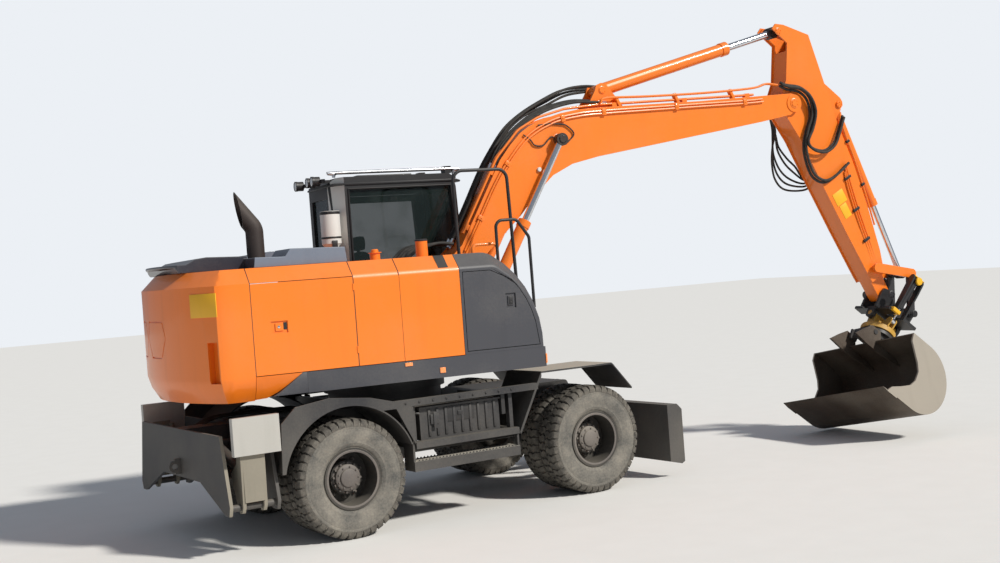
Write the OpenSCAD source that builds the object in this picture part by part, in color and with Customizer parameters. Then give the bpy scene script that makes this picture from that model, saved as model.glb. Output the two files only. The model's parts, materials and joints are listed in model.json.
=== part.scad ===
// Wheeled excavator with a one-piece boom, tilting coupler and grading bucket.
// Machine frame: X forwards, Y left, Z up, millimetres, slew axis at X = 0, Y = 0.

/* [Pose as parked] */
// Turn of the upper structure to the right, degrees
swing_deg = 7; // [-30:0.5:30]
// Angle of the boom's pin line above level, degrees
boom_deg = 22.4; // [10:0.1:40]
// Angle of the arm's pin line above level, degrees
arm_deg = -62.2; // [-80:0.1:-40]
// Angle of the coupler's pin line above level, degrees
tool_deg = -38; // [-55:0.5:-20]
// Sideways tilt of the bucket, right end up, degrees
tilt_deg = 12; // [-20:0.5:20]

/* [Wheels and axles] */
// Distance between the axles
wheelbase = 2650; // [2500:10:2800]
// Distance of the rear axle behind the slew axis
rear_axle = 997; // [900:1:1100]
// Tyre diameter
tyre_d = 1060; // [1000:5:1080]
// Tyre width
tyre_w = 275; // [250:1:290]
// Diameter of the rim's flange
rim_d = 590; // [560:5:620]
// Distance from the middle of the machine to the outer tyres
tyre_y = 1112; // [1080:1:1150]
// Distance between the two tyres of a pair
twin_pitch = 320; // [305:1:340]
// Distance from the middle of the machine to the kingpins
kingpin_y = 760; // [740:1:780]
// Kingpin diameter
kingpin_d = 70; // [50:1:90]

/* [Chassis] */
// Half width of the central frame box
frame_half = 380; // [340:5:420]
// Underside of the central frame box
frame_z0 = 690; // [660:5:740]
// Top of the central frame box
frame_z1 = 1060; // [1020:5:1100]
// Overall half width over steps and mudguards
body_half = 1240; // [1200:5:1275]
// Slew bearing outer radius
slew_r = 600; // [520:5:640]
// Top of the slew bearing
slew_z = 1330; // [1320:1:1345]

/* [Blade] */
// Distance of the blade's back plate from the slew axis
blade_x = 2573; // [2560:1:2640]
// Height of the blade
blade_h = 620; // [520:10:680]
// Ground clearance under the raised blade
blade_z = 135; // [100:5:250]

/* [Stabilisers] */
// Rear face of the stabiliser beam behind the slew axis
beam_x = 2130; // [2100:5:2200]
// Length of the beam along the machine
beam_len = 460; // [420:10:480]
// Height of the leg pins above the ground
leg_pin_z = 430; // [400:5:480]
// Distance from the middle of the machine to the leg pins
leg_pin_y = 1130; // [1080:5:1150]
// Distance from a leg's pin to its foot
leg_len = 590; // [540:5:620]

/* [Upper structure] */
// Half width of the housings
house_half = 1235; // [1200:5:1250]
// Radius of the counterweight's tail
tail_r = 2260; // [2200:10:2320]
// Rear edge of the side panels behind the slew axis
panel_x = 1607; // [1560:1:1650]
// Underside of the coloured panels
panel_z0 = 1506; // [1480:1:1540]
// Shoulder line where panels bend inwards
shoulder_z = 2307; // [2280:1:2340]
// Top of the housings
house_z = 2440; // [2400:1:2480]
// Thickness of panels and doors
panel_t = 30; // [20:1:40]
// Half width of the free bay around the boom foot
bay_half = 378; // [370:1:400]

/* [Cab] */
// Rear of the cab, from the slew axis
cab_x0 = -240; // [-260:5:-220]
// Front of the cab's roof
cab_x1 = 1130; // [1080:5:1180]
// Foremost point of the cab
cab_x2 = 1300; // [1270:5:1340]
// Top of the cab's roof
cab_z = 3320; // [3260:5:3340]
// Thickness of the cab's walls
cab_t = 55; // [45:1:70]
// Window glass thickness
glass_t = 8; // [5:1:10]

/* [Boom] */
// Boom foot pin, forwards of the slew axis
foot_x = 400; // [380:5:430]
// Boom foot pin height
foot_z = 1950; // [1920:5:1980]
// Distance between the boom's two pins
boom_len = 5160; // [5100:10:5220]
// Width of the boom
boom_w = 380; // [360:5:390]
// Pin diameter at the boom and arm
pin_d = 80; // [60:1:90]
// Plate thickness of boom and arm
plate_t = 14; // [10:1:20]

/* [Arm] */
// Distance between the arm's two pins
arm_len = 2598; // [2560:2:2640]
// Width of the arm
arm_w = 290; // [270:2:300]
// Width of the arm's tip
arm_tip_w = 196; // [180:2:200]

/* [Cylinders] */
// Boom cylinder barrel diameter
boom_cyl_d = 125; // [110:1:130]
// Arm cylinder barrel diameter
arm_cyl_d = 140; // [125:1:150]
// Bucket cylinder barrel diameter
bucket_cyl_d = 115; // [100:1:125]
// Share of a barrel's diameter that its rod has
rod_share = 0.58; // [0.5:0.01:0.65]

/* [Coupler and bucket] */
// Distance between the coupler's two pins
coupler_len = 420; // [400:5:440]
// Depth of the tilt axis under the coupler's pins
tilt_drop = 250; // [240:5:280]
// Swing radius of the rotor housing
rotor_r = 210; // [190:5:230]
// Width of the bucket
bucket_w = 1580; // [1400:10:1700]
// Radius of the bucket's back
bucket_r = 420; // [380:5:440]
// Thickness of the bucket's shell
bucket_t = 14; // [10:1:20]

/* [Fits] */
// Gap between a pin and its bore
fit = 0.3; // [0.2:0.05:0.5]
// Gap between parts that move past each other
gap = 6; // [5:1:10]

/* [Hidden] */
$fn = 48;

// Flat geometry: turn a point, a point at a radius, a unit vector and its left normal
function turned(p, a) = [p[0] * cos(a) - p[1] * sin(a), p[0] * sin(a) + p[1] * cos(a)];
function polar(r, a) = [r * cos(a), r * sin(a)];
function unit(v) = v / norm(v);
function left_of(v) = [-v[1], v[0]];
// Direction of a vector in degrees
function heading(v) = atan2(v[1], v[0]);
// An outline drawn anticlockwise, moved inwards by t
function inset(pts, t) = [
  for (i = [0 : len(pts) - 1])
    let (n = len(pts))
    let (a = left_of(unit(pts[i] - pts[(i + n - 1) % n])))
    let (b = left_of(unit(pts[(i + 1) % n] - pts[i])))
    pts[i] + t * (a + b) / (1 + a * b)];
// Points on an arc about c, from angle a0 to a1 in n steps
function arc(c, r, a0, a1, n) = [for (i = [0 : n]) c + polar(r, a0 + (a1 - a0) * i / n)];

// Main points of the attachment in the plane of the boom: [x, z]
foot = [foot_x, foot_z];
tip = foot + polar(boom_len, boom_deg);
arm_tip = tip + polar(arm_len, arm_deg);
// A point given in the boom's, the arm's or the coupler's own lengths
function on_boom(p) = foot + turned(p, boom_deg);
function on_arm(p) = tip + turned(p, arm_deg);
function on_tool(p) = arm_tip + turned(p, tool_deg);

// Places of the cylinder pins: [x, z]
boom_cyl_foot = [850, 1530];
boom_cyl_eye = on_boom([2151, 864]);
arm_cyl_foot = on_boom([2931, 1121]);
arm_cyl_eye = on_arm([-796, 288]);
bucket_cyl_foot = on_arm([345, 630]);
rocker_pin = on_arm([arm_len - 371, 7]);
rocker_eye = on_arm([arm_len - 36, 419]);
coupler_pin = on_tool([coupler_len, 0]);
blade_pin = [2080, 480];
blade_cyl_foot = [1990, 1000];
blade_cyl_eye = [2480, 430];

// Overall length is centred on the origin, and so is the overall width
front_reach = 6810;
rear_reach = tail_r;
shift_x = -(front_reach - rear_reach) / 2;
right_reach = 1752;
left_reach = 1446;
shift_y = (right_reach - left_reach) / 2;

front_axle_x = wheelbase - rear_axle;
axle_z = tyre_d / 2;

module on_machine() translate([shift_x, shift_y, 0]) children();
module on_upper() on_machine() rotate([0, 0, -swing_deg]) children();
// An XZ outline as a plate of thickness t about the plane Y = y
module slab(y, t) translate([0, y + t / 2, 0]) rotate([90, 0, 0]) linear_extrude(t) children();
// A YZ outline as a plate from X = x0 to x1
module wall(x0, x1)
  translate([x0, 0, 0]) rotate([90, 0, 90]) linear_extrude(x1 - x0) children();
// A round bar across the machine through the XZ point p, from y0 to y1
module bar_y(p, y0, y1, d)
  translate([p[0], y0, p[1]]) rotate([-90, 0, 0]) cylinder(h = y1 - y0, d = d);
module box(lo, hi) translate(lo) cube(hi - lo);
module mirrored() for (s = [-1, 1]) flip_y(s) children();
module flip_y(s) if (s < 0) mirror([0, 1, 0]) children(); else children();
// Turn the children so that their X axis points along angle a in the XZ plane through p
module aimed(p, a, y = 0) translate([p[0], y, p[1]]) rotate([0, -a, 0]) children();
// Angle between two unit vectors
function between(u, v) = acos(min(1, u * v));
// A round tube in the XZ plane at y, through pts, with bends of radius r
module tube(pts, d, r, y = 0) translate([0, y, 0]) rotate([90, 0, 0]) {
  n = len(pts);
  way = [for (i = [0 : n - 2]) unit(pts[i + 1] - pts[i])];
  cut = [for (i = [0 : n - 1]) i == 0 || i == n - 1 ? 0 : r * tan(between(way[i - 1], way[i]) / 2)];
  // Straight lengths are a hair thinner and end inside the bends
  for (i = [0 : n - 2]) {
    back = i > 0 ? 5 : 0;
    on = i < n - 2 ? 5 : 0;
    translate(pts[i] + way[i] * (cut[i] - back)) rotate([0, 0, heading(way[i])])
      rotate([0, 90, 0])
        cylinder(h = norm(pts[i + 1] - pts[i]) - cut[i] - cut[i + 1] + back + on, d = d - 0.6);
  }
  for (i = [1 : n - 2]) {
    side = cross(way[i - 1], way[i]) > 0 ? 1 : -1;
    across = left_of(way[i - 1]) * side;
    turn = between(way[i - 1], way[i]);
    translate(pts[i] - way[i - 1] * cut[i] + across * r)
      rotate([0, 0, heading(-across) + (side < 0 ? -turn : 0)])
        rotate_extrude(angle = turn) translate([r, 0]) circle(d = d);
  }
}

// Hydraulic cylinder pieces along +X: the barrel's pin is at the origin
module barrel(d, len, eye_w, pin, rod) difference() {
  union() {
    rotate([90, 0, 0]) cylinder(h = eye_w, d = pin * 1.9, center = true);
    translate([pin * 0.5, -eye_w / 2, -pin * 0.75]) cube([pin * 0.9, eye_w, pin * 1.5]);
    translate([pin * 1.2, 0, 0]) rotate([0, 90, 0]) cylinder(h = len - pin * 1.2, d = d);
    translate([len - d * 0.6, 0, 0]) rotate([0, 90, 0]) cylinder(h = d * 0.6, d = d * 1.12);
  }
  rotate([90, 0, 0]) cylinder(h = eye_w * 2, d = pin + 2 * fit, center = true);
  translate([pin * 1.2 + d * 0.2, 0, 0]) rotate([0, 90, 0]) cylinder(h = len, d = rod + 2 * fit);
}
// The rod's own pin is at distance reach from the barrel's pin
module rod(d, reach, len, eye_w, pin, heads) {
  translate([reach - len, 0, 0]) rotate([0, 90, 0]) cylinder(h = len, d = d);
  translate([reach, 0, 0]) rotate([90, 0, 0]) cylinder(h = eye_w, d = pin * 1.9, center = true);
  translate([reach, 0, 0]) rotate([90, 0, 0]) cylinder(h = heads, d = pin, center = true);
}

// Box girder with side plates that stand proud of its flanges
module girder(pts, w, lip) {
  for (s = [-1, 1]) slab(s * (w - plate_t) / 2, plate_t) polygon(pts);
  slab(0, w - 1.9 * plate_t) difference() {
    polygon(inset(pts, lip));
    polygon(inset(pts, lip + plate_t));
  }
}

// UNDERCARRIAGE

frame_x0 = -1670;
frame_x1 = 1930;
ring_z0 = 1180;
pedestal_r = slew_r - 40;
// Axle housings: [x, radius, length]
housings = [[-rear_axle, 180, 330], [front_axle_x, 150, 260]];
module chassis_frame() color("#3d3e40") on_machine() difference() {
  union() {
    difference() {
      box([frame_x0, -frame_half, frame_z0], [frame_x1, frame_half, frame_z1]);
      box([frame_x0 + 260, -frame_half + 30, frame_z0 - 1],
          [frame_x1 - 260, frame_half - 30, frame_z1 - 40]);
    }
    // Pedestal and slew bearing
    translate([0, 0, frame_z0]) cylinder(h = ring_z0 - frame_z0, r = pedestal_r);
    translate([0, 0, ring_z0 - 1]) cylinder(h = slew_z - fit - ring_z0 + 1, r = slew_r);
    // Axle seats
    for (x = [-rear_axle, front_axle_x])
      box([x - 130, -frame_half, axle_z + 105], [x + 130, frame_half, frame_z0 + 30]);
    // Outriggers to the side beams
    for (x = [-435, 640]) mirrored()
      box([x - 20, frame_half - 20, 900], [x + 20, body_half - 62, 1095]);
    // Blade lugs and lugs of its cylinders
    mirrored() slab(350, 30) polygon([[1780, 700], [1990, 430], [2110, 400], [2150, 470],
      [2130, 540], [1925, 800], [1780, 800]]);
    mirrored() for (y = [150, 260]) slab(y, 24)
      polygon(concat([[1900, 1052], [1900, 800], [1950, 900]], arc(blade_cyl_foot, 52, -60, 90, 6)));
    mirrored() bar_y(blade_cyl_foot, 140, 270, 50);
    mirrored() bar_y(blade_pin, 270, 375, 60);
  }
  // The hollow of the bearing and room for the axle housings
  translate([0, 0, frame_z0 - 1]) cylinder(h = 800, r = slew_r - 130);
  for (a = housings) translate([a[0], 0, axle_z]) rotate([90, 0, 0])
    cylinder(h = a[2] + 4, r = a[1] + 1, center = true);
}

// Axle ends swell into fists that hold the kingpins
module front_axle() color("#35363a") on_machine() translate([front_axle_x, 0, axle_z])
  difference() {
    union() {
      rotate([90, 0, 0]) cylinder(h = 2 * kingpin_y - 150, d = 150, center = true);
      rotate([90, 0, 0]) cylinder(h = 260, d = 300, center = true);
      box([-70, -330, 60], [70, 330, 104]);
      mirrored() translate([0, kingpin_y, -95]) cylinder(h = 190, d = 130);
      mirrored() box([-55, 560, -75], [55, kingpin_y, 75]);
    }
    mirrored() translate([0, kingpin_y, -200]) cylinder(h = 400, d = kingpin_d + 2 * fit);
  }

hub_y = tyre_y - twin_pitch / 2;
module rear_axle() color("#35363a") on_machine() {
  translate([-rear_axle, 0, axle_z]) {
    rotate([90, 0, 0]) cylinder(h = 1400, d = 190, center = true);
    rotate([90, 0, 0]) cylinder(h = 330, d = 360, center = true);
    box([-90, -340, 80], [90, 340, 104]);
    mirrored() rotate([-90, 0, 0]) cylinder(h = hub_y + 60, d = 130);
  }
  // Transfer box and propeller shafts along the middle
  box([-250, -150, axle_z - 60], [150, 150, frame_z0 + 1]);
  shafts = [[-rear_axle + 170, -249], [149, front_axle_x - 150 - fit]];
  for (s = shafts) translate([s[0], 0, axle_z]) rotate([0, 90, 0]) cylinder(h = s[1] - s[0], d = 80);
}

// Yoke round the axle's fist, kingpin and wheel spindle
module knuckle() translate([front_axle_x, 0, axle_z]) {
  translate([0, kingpin_y, 0]) {
    translate([0, 0, -140]) cylinder(h = 280, d = kingpin_d);
    for (z = [-135, 95 + fit]) translate([0, 0, z]) cylinder(h = 40 - fit, d = 130);
    for (z = [-135, 95 + fit]) box([-55, 0, z], [55, 120, z + 40 - fit]);
    box([-60, 85, -135], [60, 125, 135]);
    translate([0, 120, 0]) rotate([-90, 0, 0])
      cylinder(h = hub_y - kingpin_y - 60, d = 130);
  }
  // Steering arm
  translate([0, kingpin_y, 0]) box([-190, 20, -135], [-30, 70, -100]);
}
module knuckle_left() color("#35363a") on_machine() knuckle();
module knuckle_right() color("#35363a") on_machine() flip_y(-1) knuckle();

// One tyre about the Y axis, centred on the origin
bead_r = rim_d / 2 - 40;
bead_y = tyre_w * 0.36;
disc_half = twin_pitch / 2 - bead_y - 15;
module tyre() rotate([90, 0, 0]) rotate_extrude($fn = 96)
  polygon([[bead_r, -bead_y], [bead_r + 22, -bead_y], [bead_r + 60, -tyre_w / 2 + 4],
    [tyre_d * 0.4, -tyre_w / 2],
    [tyre_d / 2 - 22, -tyre_w * 0.46], [tyre_d / 2, -tyre_w * 0.38], [tyre_d / 2, tyre_w * 0.38],
    [tyre_d / 2 - 22, tyre_w * 0.46], [tyre_d * 0.4, tyre_w / 2],
    [bead_r + 60, tyre_w / 2 - 4], [bead_r + 22, bead_y], [bead_r, bead_y]]);
// Rim barrel with its flange, dished to the hub at the middle of the pair
module rim_ring() rotate([-90, 0, 0]) rotate_extrude($fn = 96) {
  w = bead_y + 16;
  polygon([[bead_r - 14, -w], [bead_r - fit, -w], [bead_r - fit, w], [bead_r - 14, w]]);
}
// Flange lips at both sides of a rim, outside the beads
module rim_lips() rotate([-90, 0, 0]) rotate_extrude($fn = 96) for (s = [0, 1])
  mirror([0, s]) translate([bead_r - 14, bead_y + fit]) square([32, 16 - fit]);
module rims(x, spindle) translate([x, 0, axle_z]) {
  for (y = [tyre_y, tyre_y - twin_pitch]) translate([0, y, 0]) { rim_ring(); rim_lips(); }
  // Discs, hub and planetary cover
  difference() {
    union() {
      rotate([90, 0, 0]) translate([0, 0, -hub_y])
        cylinder(h = 2 * disc_half, r = bead_r - 13.5, center = true);
      translate([0, hub_y - 60, 0]) rotate([-90, 0, 0]) cylinder(h = 190, d = 300);
      translate([0, hub_y + 130, 0]) rotate([-90, 0, 0]) cylinder(h = 22, d1 = 250, d2 = 200);
    }
    translate([0, hub_y - 90, 0]) rotate([-90, 0, 0]) cylinder(h = 160, d = spindle + 2 * fit);
  }
  for (i = [0 : 9]) rotate([0, 36 * i, 0]) translate([0, hub_y + 39, 178])
    rotate([-90, 0, 0]) cylinder(h = 26, d = 30, $fn = 6);
}
module tyres(x) translate([x, 0, axle_z])
  for (y = [tyre_y, tyre_y - twin_pitch]) translate([0, y, 0]) tyre();
module tyres_fl() color("#6f6b64") on_machine() tyres(front_axle_x);
module tyres_fr() color("#6f6b64") on_machine() flip_y(-1) tyres(front_axle_x);
module tyres_rl() color("#6f6b64") on_machine() tyres(-rear_axle);
module tyres_rr() color("#6f6b64") on_machine() flip_y(-1) tyres(-rear_axle);
module rims_fl() color("#8d8a84") on_machine() rims(front_axle_x, 130);
module rims_fr() color("#8d8a84") on_machine() flip_y(-1) rims(front_axle_x, 130);
module rims_rl() color("#8d8a84") on_machine() rims(-rear_axle, 130);
module rims_rr() color("#8d8a84") on_machine() flip_y(-1) rims(-rear_axle, 130);

// Mudguards: arched at the rear, flat-topped at the front, joined by the upper side beams
guard_y0 = 640;
arch_r = 640;
guard_t = 14;
guard_top = 1262;
beam_z = 1157;
module rear_guard_face() translate([-rear_axle, axle_z]) difference() {
  polygon([[-660, 130], [-640, 560], [-500, 690], [-170, guard_top - axle_z],
    [220, 690], [460, beam_z - axle_z], [640, beam_z - axle_z - 70], [640, 130]]);
  circle(r = arch_r, $fn = 96);
  polygon([[470, 560], [700, 100], [560, 100], [300, 560]]);
}
module rear_guard_band() translate([-rear_axle, axle_z]) difference() {
  circle(r = arch_r + guard_t, $fn = 96);
  circle(r = arch_r, $fn = 96);
  polygon([[-800, 126], [-800, -800], [800, -800], [800, 238]]);
  polygon([[0, 126], [800, 126], [800, -10], [0, -10]]);
}
guard_line = [[767, 714], [1043, 1232], [1060, guard_top], [1905, guard_top],
  [1925, 1245], [2140, 995]];
module front_guard_strip() polygon(concat(guard_line,
  [for (i = [len(guard_line) - 1 : -1 : 0]) guard_line[i] + [guard_t * (i < 2 ? 1.2 : 0),
    -guard_t * 1.3] ]));
module mudguards() color("#4a4b4d") on_machine() mirrored() {
  slab((guard_y0 + body_half) / 2, body_half - guard_y0) rear_guard_band();
  slab(body_half - 9, 18) rear_guard_face();
  slab((guard_y0 + body_half) / 2, body_half - guard_y0) front_guard_strip();
  // Upper side beam
  box([-470 - 60, body_half - 62, 1095], [1010, body_half, beam_z]);
}

// Lower beam, step and toolbox between the wheels
step_x = [-380, 764];
module side_steps() color("#4a4b4d") on_machine() mirrored() {
  box([step_x[0] + 30, body_half - 120, 703], [step_x[1], body_half, 763]);
  for (x = [-350, 700]) box([x, body_half - 120, 762], [x + 40, body_half - 60, 1094.7]);
  // Crossbars: [x, inner end beside the pedestal or the frame]
  for (c = [[-350, sqrt(pow(pedestal_r, 2) - 310 * 310) + fit], [700, frame_half + fit]])
    box([c[0], c[1], 703], [c[0] + 40, body_half - 119, 763]);
  for (x = [step_x[0], step_x[1] - 20])
    box([x, body_half - 60, 500], [x + 20, body_half - 18 - fit, 764]);
  // Tread with a serrated edge
  difference() {
    box([step_x[0], body_half - 200, 500], [step_x[1], body_half - 5, 590]);
    box([step_x[0] + 20, body_half - 180, 499], [step_x[1] - 20, body_half - 20, 560]);
  }
  box([step_x[0], body_half - 200, 500], [step_x[0] + 20, body_half - 59, 764]);
  // Toolbox
  box([-252, body_half - 430, 762], [606, body_half - 90, 1061]);
}

// Rear beam: two plates tied by webs, with the leg pins at its outer lower corners
leg_x = -beam_x + beam_len / 2;
// The foot pads sit forward of the legs by this much, clear of the mudguards
pad_shift = 36;
module beam_outline() difference() {
  polygon([[-1060, 1040], [-leg_pin_y - 70, leg_pin_z + 20], [-leg_pin_y - 40, leg_pin_z - 60],
    [-leg_pin_y + 50, leg_pin_z - 60], [-500, 600], [500, 600], [leg_pin_y - 50, leg_pin_z - 60],
    [leg_pin_y + 40, leg_pin_z - 60], [leg_pin_y + 70, leg_pin_z + 20], [1060, 1040]]);
}
stab_cyl_foot = [300, 900];
tow_eye = [-beam_x - 55, 700];
tow_r = 27.5;
tow_t = 40;
stab_cyl_eye = [leg_pin_y, leg_pin_z] + polar(280, 115);
module stabiliser_beam() color("#4a4b4d") on_machine() {
  for (x = [-beam_x, -beam_x + beam_len - 30]) wall(x, x + 30) beam_outline();
  box([-beam_x + 20, -130, 620], [-beam_x + beam_len - 20, 130, 1040]);
  mirrored() box([-beam_x + 20, 120, 600], [-beam_x + beam_len - 20, 700, 620]);
  // Towing eye on the rear plate
  difference() {
    union() {
      box([tow_eye[0], -tow_t / 2, tow_eye[1] - 70], [-beam_x - fit, tow_t / 2, tow_eye[1] + 70]);
      bar_y(tow_eye, -tow_t / 2, tow_t / 2, 108);
    }
    bar_y(tow_eye, -tow_t, tow_t, 2 * tow_r);
  }
  mirrored() {
    translate([-beam_x + 20, leg_pin_y, leg_pin_z]) rotate([0, 90, 0])
      cylinder(h = beam_len - 40, d = 60);
    translate([-beam_x + 20, stab_cyl_foot[0], stab_cyl_foot[1]]) rotate([0, 90, 0])
      cylinder(h = beam_len - 40, d = 50);
  }
}
// Leg raised beside the machine with its foot pad on top, sole outwards
module stabiliser_leg() difference() {
  union() {
    for (s = [-1, 1]) translate([leg_x + s * 95 - 15, 0, 0]) rotate([90, 0, 90]) linear_extrude(30)
      polygon([[leg_pin_y - 55, leg_pin_z - 20], [leg_pin_y - 20, leg_pin_z - 55],
        [leg_pin_y + 30, leg_pin_z - 50], [leg_pin_y + 60, leg_pin_z],
        [leg_pin_y + 75, leg_pin_z + leg_len - 40], [leg_pin_y - 10, leg_pin_z + leg_len - 40],
        [leg_pin_y - 30, leg_pin_z + 370], [leg_pin_y - 110, leg_pin_z + 310],
        [leg_pin_y - 165, leg_pin_z + 270], [leg_pin_y - 160, leg_pin_z + 215]]);
    box([leg_x - 90, leg_pin_y + 52, leg_pin_z + 40], [leg_x + 90, leg_pin_y + 70, 1010]);
    box([leg_x + pad_shift - 210, leg_pin_y + 55, leg_pin_z + leg_len - 150],
        [leg_x + pad_shift + 210, body_half + 5, leg_pin_z + leg_len + 170]);
  }
  translate([-beam_x, leg_pin_y, leg_pin_z]) rotate([0, 90, 0])
    cylinder(h = beam_len, d = 60 + 2 * fit);
}
module stabiliser_leg_left() color("#a8a49b") on_machine() stabiliser_leg();
module stabiliser_leg_right() color("#a8a49b") on_machine() flip_y(-1) stabiliser_leg();
stab_aim = heading(stab_cyl_eye - stab_cyl_foot);
stab_reach = norm(stab_cyl_eye - stab_cyl_foot);
stab_barrel_len = 665;
// The cylinder pieces lie along +X and are turned into the YZ plane
module across(p) translate([leg_x, p[0], p[1]]) rotate([0, 0, 90]) rotate([0, -stab_aim, 0]) children();
module stabiliser_barrel() across(stab_cyl_foot) barrel(95, stab_barrel_len, 60, 50, 52);
module stabiliser_rod() across(stab_cyl_foot) rod(52, stab_reach, 600, 50, 50, 140);
module stabiliser_barrel_left() color("#4a4b4d") on_machine() stabiliser_barrel();
module stabiliser_barrel_right() color("#4a4b4d") on_machine() flip_y(-1) stabiliser_barrel();
module stabiliser_rod_left() color("silver") on_machine() stabiliser_rod();
module stabiliser_rod_right() color("silver") on_machine() flip_y(-1) stabiliser_rod();

// Blade with its curved face, end plates and lift arms
blade_top = blade_z + blade_h;
module blade() color("#3d3e40") on_machine() {
  difference() {
    slab(0, 2 * body_half) difference() {
      polygon([[blade_x, blade_z + 40], [blade_x + 150, blade_z], [blade_x + 165, blade_z + 20],
        [blade_x + 165, blade_top - 30], [blade_x + 130, blade_top], [blade_x, blade_top]]);
      translate([blade_x + 560, blade_z + blade_h * 0.52]) circle(r = 530, $fn = 96);
    }
  }
  mirrored() slab(body_half - 9, 18) polygon([[blade_x, blade_z + 40], [blade_x + 150, blade_z],
    [blade_x + 190, blade_z + 20], [blade_x + 190, blade_top - 60], [blade_x + 130, blade_top],
    [blade_x, blade_top]]);
  // Lift arms and the eyes of the lift cylinders
  mirrored() difference() {
    slab(310, 48) polygon([[2020, 480], [2050, 425], [2110, 410], [blade_x + 1, 260],
      [blade_x + 1, 560], [2110, 545], [2050, 535]]);
    bar_y(blade_pin, 200, 400, 60 + 2 * fit);
  }
  mirrored() for (y = [150, 260]) slab(y, 24) polygon([[blade_x + 1, 330], [blade_x + 1, 540],
    [2460, 480], [2430, 430], [2460, 380]]);
}
blade_aim = heading(blade_cyl_eye - blade_cyl_foot);
blade_reach = norm(blade_cyl_eye - blade_cyl_foot);
module blade_barrels() color("#3d3e40") on_machine()
  for (y = [-205, 205]) aimed(blade_cyl_foot, blade_aim, y) barrel(90, 470, 70, 50, 50);
module blade_rods() color("silver") on_machine()
  for (y = [-205, 205]) aimed(blade_cyl_foot, blade_aim, y) rod(50, blade_reach, 440, 60, 50, 84);

// UPPER STRUCTURE

deck_t = 70;
// Sides tuck in below the coloured panels, by tuck at the very bottom
tuck = 95;
low_z = 1290;
low_inner = house_half - 60;
deck_x1 = 1140;
bracket_t = 30;
bracket_y = boom_w / 2 + gap + bracket_t / 2;
module revolving_frame() color("#2f3033") on_upper() {
  difference() {
    union() {
      box([-1900, -1000, slew_z], [-1500, 1000, slew_z + deck_t]);
      box([-1600, -house_half + 135, slew_z], [deck_x1, house_half - 135, slew_z + deck_t]);
      mirrored() box([-1160, house_half - 150, slew_z - 12], [1000, house_half - 60, slew_z + deck_t]);
      // Feet of the cab, and brackets of the lower rear panels
      for (x = [-100, 850], y = [560, 1040]) translate([x, y, slew_z + deck_t - 1])
        cylinder(h = cab_z0 - fit - slew_z - deck_t + 1, d = 120);
      mirrored() for (x = [-1560, -1330]) box([x, house_half - 160, slew_z + 50],
        [x + 60, low_inner - 12.2, slew_z + deck_t + 40]);
    }
    translate([0, 0, slew_z - 20]) cylinder(h = 200, r = slew_r - 200);
  }
  // Boom brackets with the foot pin and the lugs of the boom cylinders
  mirrored() slab(bracket_y, bracket_t) polygon(concat([[-620, slew_z + deck_t - 1],
    [-560, 1560], [250, 2060], [330, 2085], [430, 2090], [520, 2040], [560, 1930], [660, 1700],
    [730, 1620]], arc(boom_cyl_foot, 74, 120, -50, 8), [[935, slew_z + deck_t - 1]]));
  mirrored() slab(bracket_y + 95, 24) polygon(concat([[700, slew_z + deck_t - 1]],
    arc(boom_cyl_foot, 74, 160, -50, 9), [[935, slew_z + deck_t - 1]]));
  bar_y(foot, -bracket_y - 30, bracket_y + 30, pin_d);
  mirrored() bar_y(boom_cyl_foot, bracket_y, bracket_y + 107, 70);
}

// Cast counterweight: a tail arc about the slew axis, flat sides and rounded corners,
// all with the shoulder on top and the tuck below
cw_r = 420;
corner_x = -tail_r + cw_r + 60;
shoulder = 135;
function cast_edge(r) = [[0, low_z], [r - tuck, low_z], [r - 30, low_z + 110], [r, panel_z0],
  [r, shoulder_z], [r - shoulder, house_z], [0, house_z]];
lift_hole = [-1750, 980, 15, 60];
slot_deg = 30.7;
module hexagon(w, h) polygon([[-w, h * 0.1], [-w * 0.75, h], [w * 0.75, h], [w, h * 0.1],
  [w * 0.55, -h], [-w * 0.55, -h]]);
module cast_block() intersection() {
  rotate_extrude($fn = 192) polygon(cast_edge(tail_r));
  union() {
    box([-tail_r - 1, cw_r - house_half, low_z], [-panel_x, house_half - cw_r, house_z]);
    mirrored() wall(corner_x, -panel_x) polygon(cast_edge(house_half));
    mirrored() translate([corner_x, house_half - cw_r, 0])
      rotate_extrude($fn = 96) polygon(cast_edge(cw_r));
  }
  box([-tail_r - 1, -house_half - 1, low_z - 1], [-panel_x, house_half + 1, house_z + 1]);
}
module counterweight() color("#f08a3c") on_upper() difference() {
  cast_block();
  // Room for the deck's tail and the engine
  box([-1905, -1006, slew_z - 10], [-1500, 1006, slew_z + deck_t + 1]);
  box([-1850, -900, slew_z + deck_t], [-1500, 900, house_z - 130]);
  // Slots at the corners, and grooves round the hatch plates of the tail
  for (s = [-1, 1]) rotate([0, 0, s * slot_deg])
    box([-tail_r - 10, -60, 1470], [-tail_r + 70, 60, 1825]);
  for (s = [-1, 1]) rotate([0, 0, s * 6.5]) translate([0, 0, 1860]) wall(-tail_r - 40, -tail_r + 14)
    difference() {
      hexagon(250, 168);
      hexagon(238, 156);
    }
  // Threaded lifting holes: [x, y, radius, depth]
  mirrored() translate([lift_hole[0], lift_hole[1], house_z - lift_hole[3]])
    cylinder(h = lift_hole[3] + 1, r = lift_hole[2]);
}

// Panels round the engine bay, the tank at the right and the skirts
tank_x = [-231, 363];
bulk_x = -666;
function house_side(e) = [[house_half - e, panel_z0], [house_half - e, shoulder_z - e * 0.4],
  [house_half - shoulder - e * 0.6, house_z - e], [bay_half, house_z - e], [bay_half, panel_z0]];
skirt_z0 = 1318;
hood_y = [-250, 900];
hood_x = [-1450, -640];
cover_y = [-1040, -560];
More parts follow.
